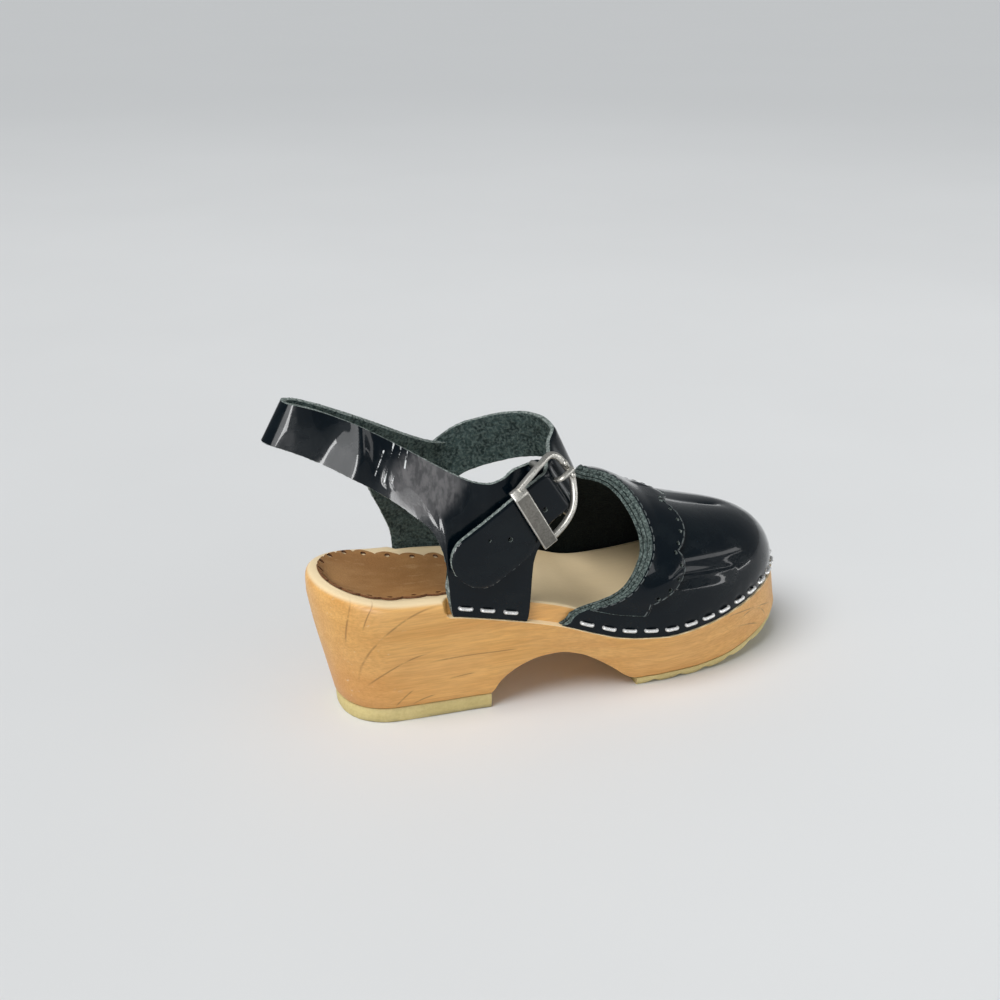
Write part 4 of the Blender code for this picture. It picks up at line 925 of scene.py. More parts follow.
def make_patent():
    """Black patent with a cold tint: clear coat over faint waves, rubbed clouds, a dull scuff whose pale grey
    is also a painted reflection, and worn cracks along the sling's creases painted near-white as their
    highlights.
    """
    finish = Finish("patent_leather")
    waves = finish.speckle((95, 95, 95), 0.20, 0.80)
    peel = finish.speckle((900, 900, 900), 0.25, 0.75)
    clouds = finish.speckle((70, 90, 110), 0.42, 0.72)
    tone = finish.mix(clouds, PATENT_BLACK, PATENT_CLOUD)
    # a dull scuff on the outer sling; its pale grey is in part a painted reflection of the bright light there
    rubbed = finish.spread(finish.line(SLING_SCUFF_AND_REFLECTION, SLING_SCUFF_AND_REFLECTION, SCUFF_AND_REFLECTION_REACH), 0.0, 0.5)
    streaks = finish.spread(finish.speckle((500, 500, 190), 0.30, 0.70), 0.0, 1.0, 0.45, 1.0)
    scuff_and_reflection = finish.maths("MULTIPLY", rubbed, streaks)
    tone = finish.stain(tone, scuff_and_reflection, 0.9, PATENT_SCUFF_AND_REFLECTION)
    # painted highlights: broken near-white lines along the worn creases, partly cracks in the coat
    crack_highlights = finish.lines([(start, end, CRACK_HIGHLIGHT_WIDTH) for start, end, _, _ in SLING_CREASES])
    crack_highlights = finish.spread(crack_highlights, 0.35, 0.6)
    crack_highlights = finish.maths("MULTIPLY", crack_highlights, finish.speckle((620, 620, 300), 0.41, 0.52))
    tone = finish.stain(tone, crack_highlights, 0.95, PATENT_CRACK_HIGHLIGHT)
    rough = finish.spread(finish.maths("MAXIMUM", clouds, scuff_and_reflection), 0.0, 1.0, 0.18, 0.40)
    normal = finish.bump(waves, 0.16, 0.5)
    normal = finish.bump(peel, 0.012, 0.5, normal)
    turned = finish.node("ShaderNodeLayerWeight").outputs["Facing"]
    gloss = finish.spread(turned, 0.45, 0.95, 0.3, 1.0)
    gloss = finish.maths("MULTIPLY", gloss, finish.spread(rubbed, 0.0, 1.0, 1.0, 0.12))
    return finish.wear(base_color=tone, roughness=rough, normal=normal, specular_ior_level=0.07,
                       coat_weight=gloss, coat_roughness=0.03)


def make_suede(name, deep, body, tips):
    """Flesh side of the leather: dark green-grey nap, mottled."""
    finish = Finish(name)
    nap = finish.speckle((1000, 1000, 1000), 0.40, 0.62)
    curl = finish.speckle((260, 260, 260), 0.36, 0.64)
    tone = finish.mix(curl, deep, body)
    tone = finish.stain(tone, nap, 0.55, tips)
    rough = finish.spread(nap, 0.0, 1.0, 0.88, 1.0)
    normal = finish.bump(finish.maths("ADD", nap, curl), 0.35, 0.8)
    return finish.wear(base_color=tone, roughness=rough, normal=normal, specular_ior_level=0.15)


def make_raw_edge(name, gap, body, fibre):
    """Cut edge of the leather: grey-green fibres with dark gaps."""
    finish = Finish(name)
    fuzz = finish.speckle((1300, 1300, 1300), 0.40, 0.62)
    tufts = finish.speckle((600, 600, 600), 0.34, 0.66)
    tone = finish.mix(tufts, gap, body)
    tone = finish.stain(tone, fuzz, 0.7, fibre)
    rough = finish.spread(fuzz, 0.0, 1.0, 0.85, 1.0)
    normal = finish.bump(finish.maths("ADD", fuzz, tufts), 0.30, 0.9)
    return finish.wear(base_color=tone, roughness=rough, normal=normal, specular_ior_level=0.2)


def make_pewter(name, smooth, coarse, pale, dull, pits):
    """Antique plating: grey metal, a little sandy, darker in patches."""
    finish = Finish(name)
    sand = finish.speckle((1500, 1500, 1500), 0.30, 0.70)
    clouds = finish.speckle((170, 170, 170), 0.35, 0.70)
    tone = finish.mix(clouds, pale, dull)
    tone = finish.stain(tone, sand, 0.45, pits)
    rough = finish.spread(sand, 0.0, 1.0, smooth, coarse)
    return finish.wear(base_color=tone, roughness=rough, metallic=0.85, normal=finish.bump(sand, 0.008, 0.5))


def make_staple_steel():
    finish = Finish("staple_wire")
    rub = finish.speckle((900, 900, 900), 0.30, 0.70)
    tone = finish.mix(rub, STEEL_BRIGHT, STEEL_RUBBED)
    rough = finish.spread(rub, 0.0, 1.0, 0.22, 0.38)
    return finish.wear(base_color=tone, roughness=rough, metallic=0.45, normal=finish.bump(rub, 0.02, 0.5))


def make_thread():
    finish = Finish("black_thread")
    twist = finish.speckle((2200, 2200, 700), 0.32, 0.68)
    tone = finish.mix(twist, THREAD_BLACK, THREAD_SHEEN)
    rough = finish.spread(twist, 0.0, 1.0, 0.5, 0.7)
    return finish.wear(base_color=tone, roughness=rough, normal=finish.bump(twist, 0.06, 0.8))


WOOD, RUBBER, PAD_LEATHER, PAD_CUT = make_wood(), make_rubber(), make_pad_leather(), make_pad_cut()
PATENT = make_patent()
SUEDE = make_suede("flesh_side", deep=(0.022, 0.040, 0.040),
                   body=(0.070, 0.112, 0.108), tips=(0.22, 0.295, 0.280))
LINING = make_suede("lining_nap", deep=(0.002, 0.005, 0.005),
                    body=(0.006, 0.011, 0.011), tips=(0.014, 0.022, 0.021))
RAW_EDGE = make_raw_edge("strap_edge", gap=(0.080, 0.105, 0.098),
                         body=(0.230, 0.275, 0.258), fibre=(0.50, 0.56, 0.53))
THROAT_EDGE = make_raw_edge("throat_edge", gap=(0.020, 0.031, 0.029),
                            body=(0.085, 0.118, 0.110), fibre=(0.26, 0.32, 0.30))
PEWTER = make_pewter("antique_pewter", smooth=0.26, coarse=0.38,
                     pale=(0.60, 0.585, 0.545), dull=(0.45, 0.435, 0.395), pits=(0.32, 0.31, 0.275))
PLATE_SATIN = make_pewter("plate_satin", smooth=0.42, coarse=0.60,
                          pale=(0.21, 0.20, 0.18), dull=(0.15, 0.145, 0.13), pits=(0.09, 0.085, 0.075))
STAPLE_STEEL, THREAD = make_staple_steel(), make_thread()


# Sole
def instep_rise(x, side):
    if side == OUTER:
        return 0.0
    reach = (x - INSTEP_RISE_X) / INSTEP_RISE_REACH
    return INSTEP_RISE * math.exp(-reach * reach)


def sole_levels(x, side):
    """Inset and height of each ring up the sole's side, from the bottom edge to the top edge."""
    forward = smooth_step(x, REBATE_START_X[side], REBATE_START_X[side] + REBATE_RAMP)
    ledge = ledge_height(x)
    top = top_edge_height(x) + instep_rise(x, side)
    tuck = bottom_tuck(x)
    floor = bottom_height(x)
    heel = smooth_path([(inset, top - drop) for inset, drop in HEEL_BROW_ROWS], LEVEL_STEPS)
    rebate = [(LEDGE_CHAMFER, ledge - LEDGE_CHAMFER_DROP), (0.0, ledge), (REBATE_DEPTH, ledge)]
    rebate += [(REBATE_DEPTH + inset, top - drop) for inset, drop in REBATE_TOP_ROWS]
    rebate = straight_path(rebate, LEVEL_STEPS)
    upper = [(blend(a[0], b[0], forward), blend(a[1], b[1], forward)) for a, b in zip(heel, rebate)]
    lower = [(tuck + LOWER_EDGE_TUCK, floor), (tuck, floor + LOWER_EDGE_RISE)]
    wall = [(tuck * share, blend(floor, ledge, rise)) for share, rise in WALL_ROWS]
    wall = [lower[1], *wall, upper[0]]
    return lower[:1] + smooth_path(wall, LEVEL_STEPS)[:-1] + upper


def footbed_edge(u, side):
    inset, height = sole_levels(outline(u, side)[0], side)[-1]
    return inset_outline(u, side, inset), inset, height


def footbed_point(u, side, share, edge=None):
    """Point of the footbed, from the top edge at share 0 to the middle line at share 1."""
    border, _, height = edge or footbed_edge(u, side)
    place = blend(border, spine(u), share)
    middle = top_edge_height(place[0]) - dish_depth(place[0])
    return np.array([place[0], place[1], blend(height, middle, share * (2 - share))])


def build_sole():
    loop = both_sides(half_stations())
    levels = [sole_levels(outline(u, side)[0], side) for u, side in loop]
    rings = []
    for level in range(len(levels[0])):
        ring = []
        for (u, side), rows in zip(loop, levels):
            inset, height = rows[level]
            x, y = inset_outline(u, side, inset)
            if level < 2:
                height = bottom_height(x) + LOWER_EDGE_RISE * level
            ring.append((x, y, height))
        rings.append(ring)
    under = []
    for share in UNDER_SHARES:
        ring = []
        for (u, side), rows in zip(loop, levels):
            x, y = blend(inset_outline(u, side, rows[0][0]), spine(u), share)
            ring.append((x, y, bottom_height(x)))
        under.append(ring)
    edges = [footbed_edge(u, side) for u, side in loop]
    over = []
    for k in range(1, FOOTBED_STEPS + 1):
        share = (k / FOOTBED_STEPS) ** FOOTBED_SPREAD
        over.append([footbed_point(u, side, share, edge) for (u, side), edge in zip(loop, edges)])
    sole = weld(lay_sheet("sole_block", under + rings + over))
    give_finishes(sole, WOOD)
    ease_edges(sole, SOLE_EDGE_EASE, angle=SOLE_EDGE_ANGLE)
    hand_in(sole, ["wooden_sole"], angle=40.0)


def build_heel_lift():
    half = half_stations(station(HEEL_LIFT_FRONT_X))
    loop = [(u, OUTER) for u in half] + [(u, INNER) for u in reversed(half)] + [(half[0], OUTER)]
    rings = []
    for height, extra in HEEL_LIFT_ROWS:
        rings.append([(*inset_outline(u, side, bottom_tuck(outline(u, side)[0]) + extra), height)
                      for u, side in loop])
    middle = [(max(x, HEEL_LIFT_SPINE_X), 0.0) for x, _, _ in rings[0]]
    low = [(x, y, 0.0) for x, y in middle]
    high = [(x, y, HEEL_LIFT_HEIGHT) for x, y in middle]
    lift = weld(lay_sheet("heel_rubber", [low] + rings + [high]))
    give_finishes(lift, RUBBER)
    hand_in(lift, ["heel_lift"], angle=42.0)


def outsole_edge(side, extra):
    reach = TOE_TIP - OUTSOLE_START
    stations = [OUTSOLE_START + k * reach / OUTSOLE_EDGE_STEPS for k in range(OUTSOLE_EDGE_STEPS + 1)]
    points = np.array([inset_outline(u, side, bottom_tuck(outline(u, side)[0]) + extra) for u in stations])
    return points[:, 0], points[:, 1]


def ripple(x):
    """Depth of the rubber's rounded ripples."""
    if x < RIPPLE_FIRST_X - RIPPLE_PITCH / 2:
        return 0.0
    wave = 0.5 + 0.5 * math.cos(2 * math.pi * (x - RIPPLE_FIRST_X) / RIPPLE_PITCH)
    return RIPPLE_DEPTH * wave ** 3


def build_outsole():
    edges = {(side, part): outsole_edge(side, inset)
             for side in (OUTER, INNER) for part, inset in OUTSOLE_INSETS.items()}
    tip_x = edges[OUTER, "tread"][0][-1] - OUTSOLE_TIP_CUT
    across = [k / OUTSOLE_STEPS_ACROSS for k in range(1, OUTSOLE_STEPS_ACROSS)]
    rows = []
    for x in np.linspace(OUTSOLE_BACK_X, tip_x, OUTSOLE_STEPS):
        top = bottom_height(x) - LEATHER_GAP
        base = top - OUTSOLE_THICKNESS + ripple(x)
        wide = {key: np.interp(x, *edge) for key, edge in edges.items()}
        profile = [("edge", top), ("belly", blend(top, base, 0.4)), ("edge", blend(top, base, 0.8)),
                   ("tread", base)]
        outer = [(x, wide[OUTER, part], height) for part, height in profile]
        inner = [(x, wide[INNER, part], height) for part, height in reversed(profile)]
        floor = [(x, blend(wide[OUTER, "tread"], wide[INNER, "tread"], share), base) for share in across]
        roof = [(x, blend(wide[INNER, "edge"], wide[OUTER, "edge"], share), top) for share in across]
        rows.append(outer + floor + inner + roof + outer[:1])
    ends = []
    for row in (rows[0], rows[-1]):
        middle = np.mean(row, axis=0)
        ends.append([middle] * len(row))
    outsole = weld(lay_sheet("forefoot_rubber", ends[:1] + rows + ends[1:]))
    give_finishes(outsole, RUBBER)
    hand_in(outsole, ["forefoot_outsole"], angle=42.0)


# Heel pad
def pad_share(k, u, side, extra):
    """How far in from the footbed's edge the pad's scalloped edge lies."""
    x, _ = outline(u, side)
    wave = abs(math.sin(math.pi * k / PAD_STEPS))
    margin = pad_margin[side](x) - PAD_SCALLOP * wave ** SCALLOP_POWER + extra
    border, edge_inset, _ = footbed_edge(u, side)
    start = max(0.0, margin - edge_inset) / np.linalg.norm(border - spine(u))
    return blend(start, 1.0, smooth_step(x, PAD_TAPER_X, PAD_FRONT_X) ** 2)


def even_stations(front, steps):
    """Stations at even distances along the outline, from the heel's back to a front end."""
    fine = np.linspace(-1, front, 400)
    points = np.array([outline(u, OUTER) for u in fine])
    run = run_along(points)
    return [float(np.interp(run[-1] * k / steps, run, fine)) for k in range(steps + 1)]


def build_pad():
    stations = even_stations(station(PAD_FRONT_X), PAD_SCALLOP_COUNT * PAD_STEPS)
    loop = [(k, u, OUTER) for k, u in enumerate(stations)]
    loop += [(k, u, INNER) for k, u in reversed(list(enumerate(stations))[:-1])]
    lift = np.array([0.0, 0.0, PAD_LIFT])
    edges = [footbed_edge(u, side) for _, u, side in loop]
    starts = [pad_share(k, u, side, 0.0) for k, u, side in loop]
    rows = []
    for inward in PAD_INWARD_SHARES:
        rows.append([footbed_point(u, side, blend(start, 1.0, inward), edge) + lift
                     for (k, u, side), start, edge in zip(loop, starts, edges)])
    pad = weld(lay_sheet("scalloped_pad", rows), lambda place: (0, 0, 1))
    give_finishes(pad, PAD_LEATHER, PAD_LEATHER, PAD_CUT)
    thicken(pad, PAD_THICKNESS, offset=1.0)
    ease_edges(pad, width=0.3)
    places = []
    for lobe in range(PAD_SCALLOP_COUNT - 1):
        k = int((lobe + 0.5) * PAD_STEPS)
        for side in (OUTER, INNER):
            u = stations[k]
            share = pad_share(k, u, side, PAD_HOLE_INSET)
            places.append(stand(footbed_point(u, side, share) + lift, (1, 0, 0), (0, 0, 1)))
    cut_with(pad, make_punch("pad_punch", PAD_HOLE_RADIUS, PUNCH_DEPTH, places, PAD_CUT))
    hand_in(pad, ["heel_pad"])


def make_punch(name, radius, depth, places, finish):
    """Round punches, one at each place, joined as one cutter."""
    let_go()
    bpy.ops.mesh.primitive_cylinder_add(vertices=16, radius=radius * MM, depth=depth * MM)
    model = bpy.context.object
    give_finishes(model, finish)
    return copies_joined(name, model, places)


# Vamp and overlay
def vamp_point(u, side, share):
    """Outer face of the vamp, from the ledge at share 0 up to the ridge at share 1."""
    base = inset_outline(u, side, VAMP_INSET)
    foot = ledge_height(base[0]) + LEATHER_GAP
    if share < VAMP_WALL_SHARE:
        return np.array([base[0], base[1], foot + VAMP_WALL_RISE * share / VAMP_WALL_SHARE])
    power = 2 / blend(BODY_DOME_POWER, TOE_DOME_POWER, smooth_step(u, 1, 2))
    angle = (share - VAMP_WALL_SHARE) / (1 - VAMP_WALL_SHARE) * math.pi / 2
    away = max(0.0, math.cos(angle))
    away = away * ((away ** 2 + CREST_SOFT ** 2) / (1 + CREST_SOFT ** 2)) ** ((power - 1) / 2)
    x, y = blend(base, spine(u), 1 - away)
    wall_top = foot + VAMP_WALL_RISE
    return np.array([x, y, blend(wall_top, ridge_height(spine(u)[0]), math.sin(angle) ** power)])


def vamp_normal(u, side, share):
    step = 0.01
    low, high = max(share - step, 0.0), min(share + step, NEAR_RIDGE)
    back, ahead = max(u - step, 0.0), min(u + step, NEAR_TIP)
    up = vamp_point(u, side, high) - vamp_point(u, side, low)
    along = vamp_point(ahead, side, share) - vamp_point(back, side, share)
    normal = np.cross(along, up) * -side
    return normal / np.linalg.norm(normal)


def across_shares(steps):
    outer = [(OUTER, k / steps) for k in range(steps)]
    inner = [(INNER, k / steps) for k in reversed(range(steps))]
    return outer + [(OUTER, 1.0)] + inner


def from_foot(place):
    return np.array(place) - FOOT_MIDDLE


def vamp_layer(depth, reach_back, front, steps_up, steps_along, creases=()):
    """The vamp's form, pressed in by a depth and creased."""
    rows = []
    for k in range(steps_along + 1):
        row = []
        for side, share in across_shares(steps_up):
            share = share ** UP_SPREAD
            start = station(throat_x[side](share) - reach_back)
            row.append(vamp_point(blend(start, front, k / steps_along), side, share))
        rows.append(row)
    sheet = np.array(rows)
    normals = sheet_normals(sheet, from_foot)
    if front == TOE_TIP:         # both sides meet on the last row, so they share its normals
        normals[-1] += normals[-1, ::-1]
        normals[-1] /= np.linalg.norm(normals[-1], axis=1)[:, None]
    height = crease_height(sheet, creases) - depth
    return sheet + height[..., None] * normals


def build_vamp():
    steps = FACE_STEPS_UP, FACE_STEPS_ALONG
    creases = TOE_CREASES + staple_dents(vamp_staple_places())
    face = lay_wall("vamp_face", vamp_layer(0.0, -SKIVE, TOE_TIP, *steps, creases),
                    vamp_layer(FACE_THICKNESS, 0.0, TOE_TIP, *steps), from_foot, front_open=True)
    give_finishes(face, PATENT, LINING, THROAT_EDGE)
    hand_in(face, ["vamp"])
    steps = LINING_STEPS_UP, LINING_STEPS_ALONG
    depth = FACE_THICKNESS + LAYER_GAP
    lining = lay_wall("vamp_lining", vamp_layer(depth, LINING_REACH, LINING_FRONT, *steps),
                      vamp_layer(depth + LINING_THICKNESS, SKIVE, LINING_FRONT, *steps), from_foot)
    give_finishes(lining, LINING, LINING, THROAT_EDGE)
    hand_in(lining)


def overlay_front(side, down):
    """Station of the lobes' front edge, as far from the throat on the inner side as on the outer."""
    slant = station(throat_x[OUTER](1 - down)) - station(throat_x[side](1 - down))
    for start, end, start_u, end_u, bulge in LOBE_ROWS:
        if start <= down <= end:
            share = (down - start) / (end - start)
            arch = max(0.0, math.sin(math.pi * share)) ** LOBE_POWER
            return blend(start_u, end_u, share) + bulge * arch - slant
    return LOBE_ROWS[-1][3] - slant


def overlay_face_lift(side, down, forward):
    """Height of the overlay's face over the vamp: rounded to the lobes' edge, domed on the lower lobe."""
    width = (BALL_X - HEEL_ROUND_X) * (overlay_front(side, down) - station(throat_x[side](1 - down)))
    edge = min(max(width * (1 - forward), 0.0) / LOBE_EDGE_ROUND, 1.0)
    rounding = blend(LOBE_EDGE_HEIGHT, 1.0, math.sqrt(1 - (1 - edge) ** 2))
    reach_down = (down - PUFF_DOWN) / PUFF_DOWN_REACH
    reach_forward = (forward - PUFF_FORWARD) / PUFF_FORWARD_REACH
    puff = PUFF_HEIGHT * math.exp(-reach_down ** 2 - reach_forward ** 2)
    crest_forward = (forward - CREST_PUFF_FORWARD) / CREST_PUFF_FORWARD_REACH
    puff += CREST_PUFF * math.exp(-(down / CREST_PUFF_DOWN_REACH) ** 2 - crest_forward ** 2)
    from_end = smooth_step(LOBE_ROWS[-1][1] - down, 0.0, OVERLAY_END_REACH)
    thinned = blend(OVERLAY_END_HEIGHT, 1.0, from_end)
    return OVERLAY_LIFT + OVERLAY_THICKNESS * rounding * thinned + puff * edge


def overlay_point(side, down, forward, lift, skive=0.0):
    """Point of the overlay: forward runs from the throat at 0 to the lobes' edge at 1."""
    share = 1 - down
    u = blend(station(throat_x[side](share) + skive), overlay_front(side, down), forward)
    return vamp_point(u, side, share) + lift * vamp_normal(u, side, min(share, RIDGE_SIDE))


def overlay_downs(steps):
    half = []
    for start, end, *_ in LOBE_ROWS:
        start = max(start, 0.0)
        half += [blend(start, end, k / steps) for k in range(steps)]
    return half + [LOBE_ROWS[-1][1]]


def overlay_line(inset, pitch, start_down=0.0, end_down=None, at_throat=False):
    """Evenly spaced places along the lobes' edge, or the throat's, with their direction and normal."""
    end_down = LOBE_ROWS[-1][1] if end_down is None else end_down
    downs = np.linspace(start_down, end_down, LINE_STEPS)
    places = []
    for side in (OUTER, INNER):
        line = []
        for down in downs:
            near, far = overlay_point(side, down, 0.0, 1.0), overlay_point(side, down, 1.0, 1.0)
            width = max(np.linalg.norm(far - near), 0.1)
            forward = inset / width if at_throat else 1 - inset / width
            line.append(overlay_point(side, down, forward, overlay_face_lift(side, down, forward)))
        line = np.array(line)
        run = run_along(line)
        count = int(run[-1] / pitch)
        for k in range(count + 1):
            i = min(int(np.searchsorted(run, (k + 0.25) * run[-1] / (count + 0.5))), len(line) - 2)
            i = max(i, 1)
            share = 1 - downs[i]
            u = station(line[i][0]) if line[i][0] < BALL_X else PAST_BALL
            places.append((line[i], line[i + 1] - line[i - 1], vamp_normal(u, side, min(share, RIDGE_SIDE))))
    return places


def build_overlay():
    downs = overlay_downs(LOBE_STEPS)
    places = [(OUTER, down) for down in reversed(downs)] + [(INNER, down) for down in downs[1:]]
    forwards = [1 - (1 - k / OVERLAY_STEPS_ALONG) ** FORWARD_SPREAD for k in range(OVERLAY_STEPS_ALONG + 1)]
    face = [[overlay_point(side, down, forward, overlay_face_lift(side, down, forward), OVERLAY_FACE_SKIVE)
             for side, down in places] for forward in forwards]
    back = [[overlay_point(side, down, forward, OVERLAY_LIFT, OVERLAY_BACK_SKIVE)
             for side, down in places] for forward in forwards]
    overlay = lay_wall("lobed_overlay", face, back, from_foot)
    give_finishes(overlay, PATENT, SUEDE, THROAT_EDGE)
    punches = [stand(*place) for place in overlay_line(PINHOLE_INSET, PINHOLE_PITCH, *PINHOLE_ENDS)]
    cut_with(overlay, make_punch("overlay_punch", PINHOLE_RADIUS, PUNCH_DEPTH, punches, RAW_EDGE))
    hand_in(overlay, ["throat_overlay"])


def build_stitches():
    model = lay_model("stitch", STITCH_ROWS, STITCH_RADIUS, STITCH_SIDES)
    give_finishes(model, THREAD)
    lines = overlay_line(STITCH_INSET, STITCH_PITCH)
    lines += overlay_line(THROAT_STITCH_INSET, STITCH_PITCH, at_throat=True)
    stitches = copies_joined("overlay_stitches", model, [stand(*place) for place in lines])
    hand_in(stitches, angle=60.0)


# Straps
def buckle_axes():
    along = Vector((math.cos(BUCKLE_LEAN), 0, math.sin(BUCKLE_LEAN)))
    up = Vector((-math.sin(BUCKLE_LEAN), 0, math.cos(BUCKLE_LEAN)))
    side = Vector((0, 1, 0))
    out = along * math.sin(BUCKLE_YAW) - side * math.cos(BUCKLE_YAW)
    along = along * math.cos(BUCKLE_YAW) + side * math.sin(BUCKLE_YAW)
    return along, up, out


def buckle_place(along_by, up_by, out_by):
    along, up, out = buckle_axes()
    return np.array(Vector(BUCKLE_BAR) + along * along_by + up * up_by + out * out_by)


def sling_rows():
    """Rows from the buckle's bar round the heel to the front of the inner tab."""
    ends = [buckle_place(0.0, up_by, SLING_END_OUT) for up_by in (EYE_LOW, EYE_HIGH)]
    rows = [(*ends[0], *ends[1], 0.0)]
    for side in (OUTER, INNER):
        half = []
        for k, row in enumerate(SLING_ROWS):
            low_x, low_y, low_z, high_x, high_y, high_z, bulge = row
            if side == INNER:
                low_x += INNER_TAB_SHIFT * INNER_SHIFT_SHARES[k]
            if k in TAB_ROWS:
                low_y = abs(inset_outline(station(low_x), side, VAMP_INSET)[1])
                low_z = ledge_height(low_x) + LEATHER_GAP
            half.append((low_x, side * low_y, low_z, high_x, side * high_y, high_z, bulge))
        rows += half if side == OUTER else list(reversed(half[TAB_ROWS[0]:-1]))
    return rows


def sling_point(row, rise):
    point = blend(np.array(row[0:3]), np.array(row[3:6]), rise)
    point[1] += math.copysign(row[6] * math.sin(math.pi * rise), point[1])
    return point


def sling_path(steps):
    rows = []
    for row in smooth_path(sling_rows(), steps):
        low_z = max(row[2], ledge_height(row[0]) + LEATHER_GAP)
        rows.append((*row[0:2], low_z, *row[3:]))
    return rows


def sling_sheet_rows(steps, steps_up):
    shares = [k / steps_up for k in range(steps_up + 1)]
    return [[sling_point(row, rise) for rise in shares] for row in sling_path(steps)]


def from_ankle(place):
    return (place[0] - ANKLE_X, place[1] * ANKLE_SPREAD, 0)


def build_sling():
    sheet = np.array(sling_sheet_rows(SLING_STEPS, SLING_STEPS_UP))
    normals = sheet_normals(sheet, from_ankle)
    wave = monotone_curve(SLING_WAVE_ROWS, 1)
    half = len(SLING_ROWS) * SLING_STEPS
    waves = [[wave(k / SLING_STEPS + SLING_WAVE_TILT * rise / SLING_STEPS_UP) if k < half else 0.0
              for rise in range(SLING_STEPS_UP + 1)] for k in range(len(sheet))]
    sheet = sheet + np.array(waves)[..., None] * normals
    creases = SLING_CREASES + staple_dents(tab_staple_places())
    face = sheet + crease_height(sheet, creases)[..., None] * normals
    sling = lay_wall("sling_strap", face, sheet - STRAP_THICKNESS * normals, from_ankle)
    give_finishes(sling, PATENT, SUEDE, RAW_EDGE)
    hand_in(sling, ["ankle_straps"])


def near_y(points, x, z, count, softness):
    """Mean y of the points nearest to a place seen from the side, and how far off the nearest is."""
    off = np.hypot(points[:, 0] - x, points[:, 2] - z)
    near = np.argsort(off)[:count]
    weight = 1 / (off[near] + softness)
    return (points[near, 1] * weight).sum() / weight.sum(), off[near[0]]


def instep_rows():
    inner = np.array([point for row in sling_sheet_rows(2, 4) for point in row if point[1] > 0])
    rows = []
    for x, z, lean in INSTEP_ROOT_ROWS:
        tab_y, _ = near_y(inner, x, z, ROOT_NEAREST, ROOT_SOFTNESS)
        rows.append((x, tab_y - STRAP_THICKNESS, z, lean))
    rows += list(INSTEP_ARCH_ROWS)
    lean = math.degrees(BUCKLE_LEAN)
    return rows + [(*buckle_place(along_by, 0.0, out_by), lean) for along_by, out_by in INSTEP_BUCKLE_ROWS]


def strap_side(place):
    """The patent side: outwards on the tail, which lies on the sling."""
    return buckle_axes()[2] if place[1] < TAIL_SIDE_Y else (0.0, 0.0, 0.0)


def rest_on_sling(sheet):
    """Lifts the strap's tail on to the outer face of the sling that carries it."""
    carrier = np.array(sling_sheet_rows(SLING_STEPS, SLING_STEPS_UP)).reshape(-1, 3)
    carrier = carrier[carrier[:, 1] < 0]
    for row in sheet:
        for point in row:
            carrier_y, off = near_y(carrier, point[0], point[2], CARRIER_NEAREST, CARRIER_SOFTNESS)
            if point[1] > CARRIED_Y or off > CARRIED_REACH:
                continue
            seat = carrier_y - STRAP_THICKNESS / 2 - TAIL_GAP
            sunk = min((point[1] - seat) / TAIL_EASE, TAIL_EASE_LIMIT)
            point[1] -= TAIL_EASE * math.log1p(math.exp(sunk))
    return sheet


def build_instep():
    path = smooth_path(instep_rows(), INSTEP_STEPS)
    places = np.array([row[:3] for row in path])
    run = run_along(places)
    shares = [2 * k / INSTEP_STEPS_ACROSS - 1 for k in range(INSTEP_STEPS_ACROSS + 1)]
    rows = []
    for (x, y, z, lean), tail in zip(path, run[-1] - run):
        reach = INSTEP_HALF_WIDTH
        if tail < TAIL_ROUND:
            reach = max(TAIL_TIP_HALF_WIDTH, math.sqrt(TAIL_ROUND ** 2 - (TAIL_ROUND - tail) ** 2))
        width = np.array([-math.sin(math.radians(lean)), 0, math.cos(math.radians(lean))])
        low = reach * tail_low(tail)
        rows.append([np.array([x, y, z]) + width * share * (low if share < 0 else reach) for share in shares])
    sheet = rest_on_sling(np.array(rows))
    normals = sheet_normals(sheet, strap_side)
    half = STRAP_THICKNESS / 2
    shoulder = np.array([half - EDGE_DROP * abs(share) ** EDGE_DROP_POWER for share in shares])
    face = sheet + shoulder[None, :, None] * normals
    strap = lay_wall("instep_strap", face, sheet - half * normals, strap_side)
    give_finishes(strap, PATENT, SUEDE, RAW_EDGE)
    along, _, out = buckle_axes()
    for along_by, up_by, radius in STRAP_HOLES:
        place = stand(buckle_place(along_by, up_by, STRAP_HOLE_OUT), along, out)
        cut_with(strap, make_punch("strap_punch", radius, STRAP_PUNCH_DEPTH, [place], RAW_EDGE))
    hand_in(strap)


def build_eye():
    """Leather end wrapped round the buckle's bar, notched for the prong."""
    spans = ((EYE_LOW, PRONG_UP - EYE_SLOT / 2), (PRONG_UP + EYE_SLOT / 2, EYE_HIGH))
    angles = [2 * math.pi * k / EYE_SIDES for k in range(EYE_SIDES + 1)]
    for number, (low, high) in enumerate(spans, start=1):
        section = ((EYE_BORE, low), (EYE_RADIUS, low), (EYE_RADIUS, high), (EYE_BORE, high), (EYE_BORE, low))
        rings = [[buckle_place(radius * math.cos(a), up, radius * math.sin(a)) for a in angles]
                 for radius, up in section]
        eye = weld(lay_sheet(f"bar_wrap_{number}", rings))
        give_finishes(eye, PATENT)
        ease_edges(eye, width=0.3)
        hand_in(eye)


# Buckle
def build_wire():
    half = smooth_path(FRAME_ROWS, FRAME_STEPS)
    path = [(along, FRAME_UP - low * BUCKLE_HALF_WIDTH, out) for along, low, _, out in half]
    path += [(along, FRAME_UP + high * BUCKLE_HALF_WIDTH, out) for along, _, high, out in reversed(half[:-1])]
    path = [buckle_place(*knot) for knot in path]
    wire = lay_tube("buckle_wire", path, WIRE_RADIUS, FRAME_SIDES, up=buckle_axes()[2])
    give_finishes(wire, PEWTER)
    hand_in(wire, ["buckle_frame"], angle=50.0)


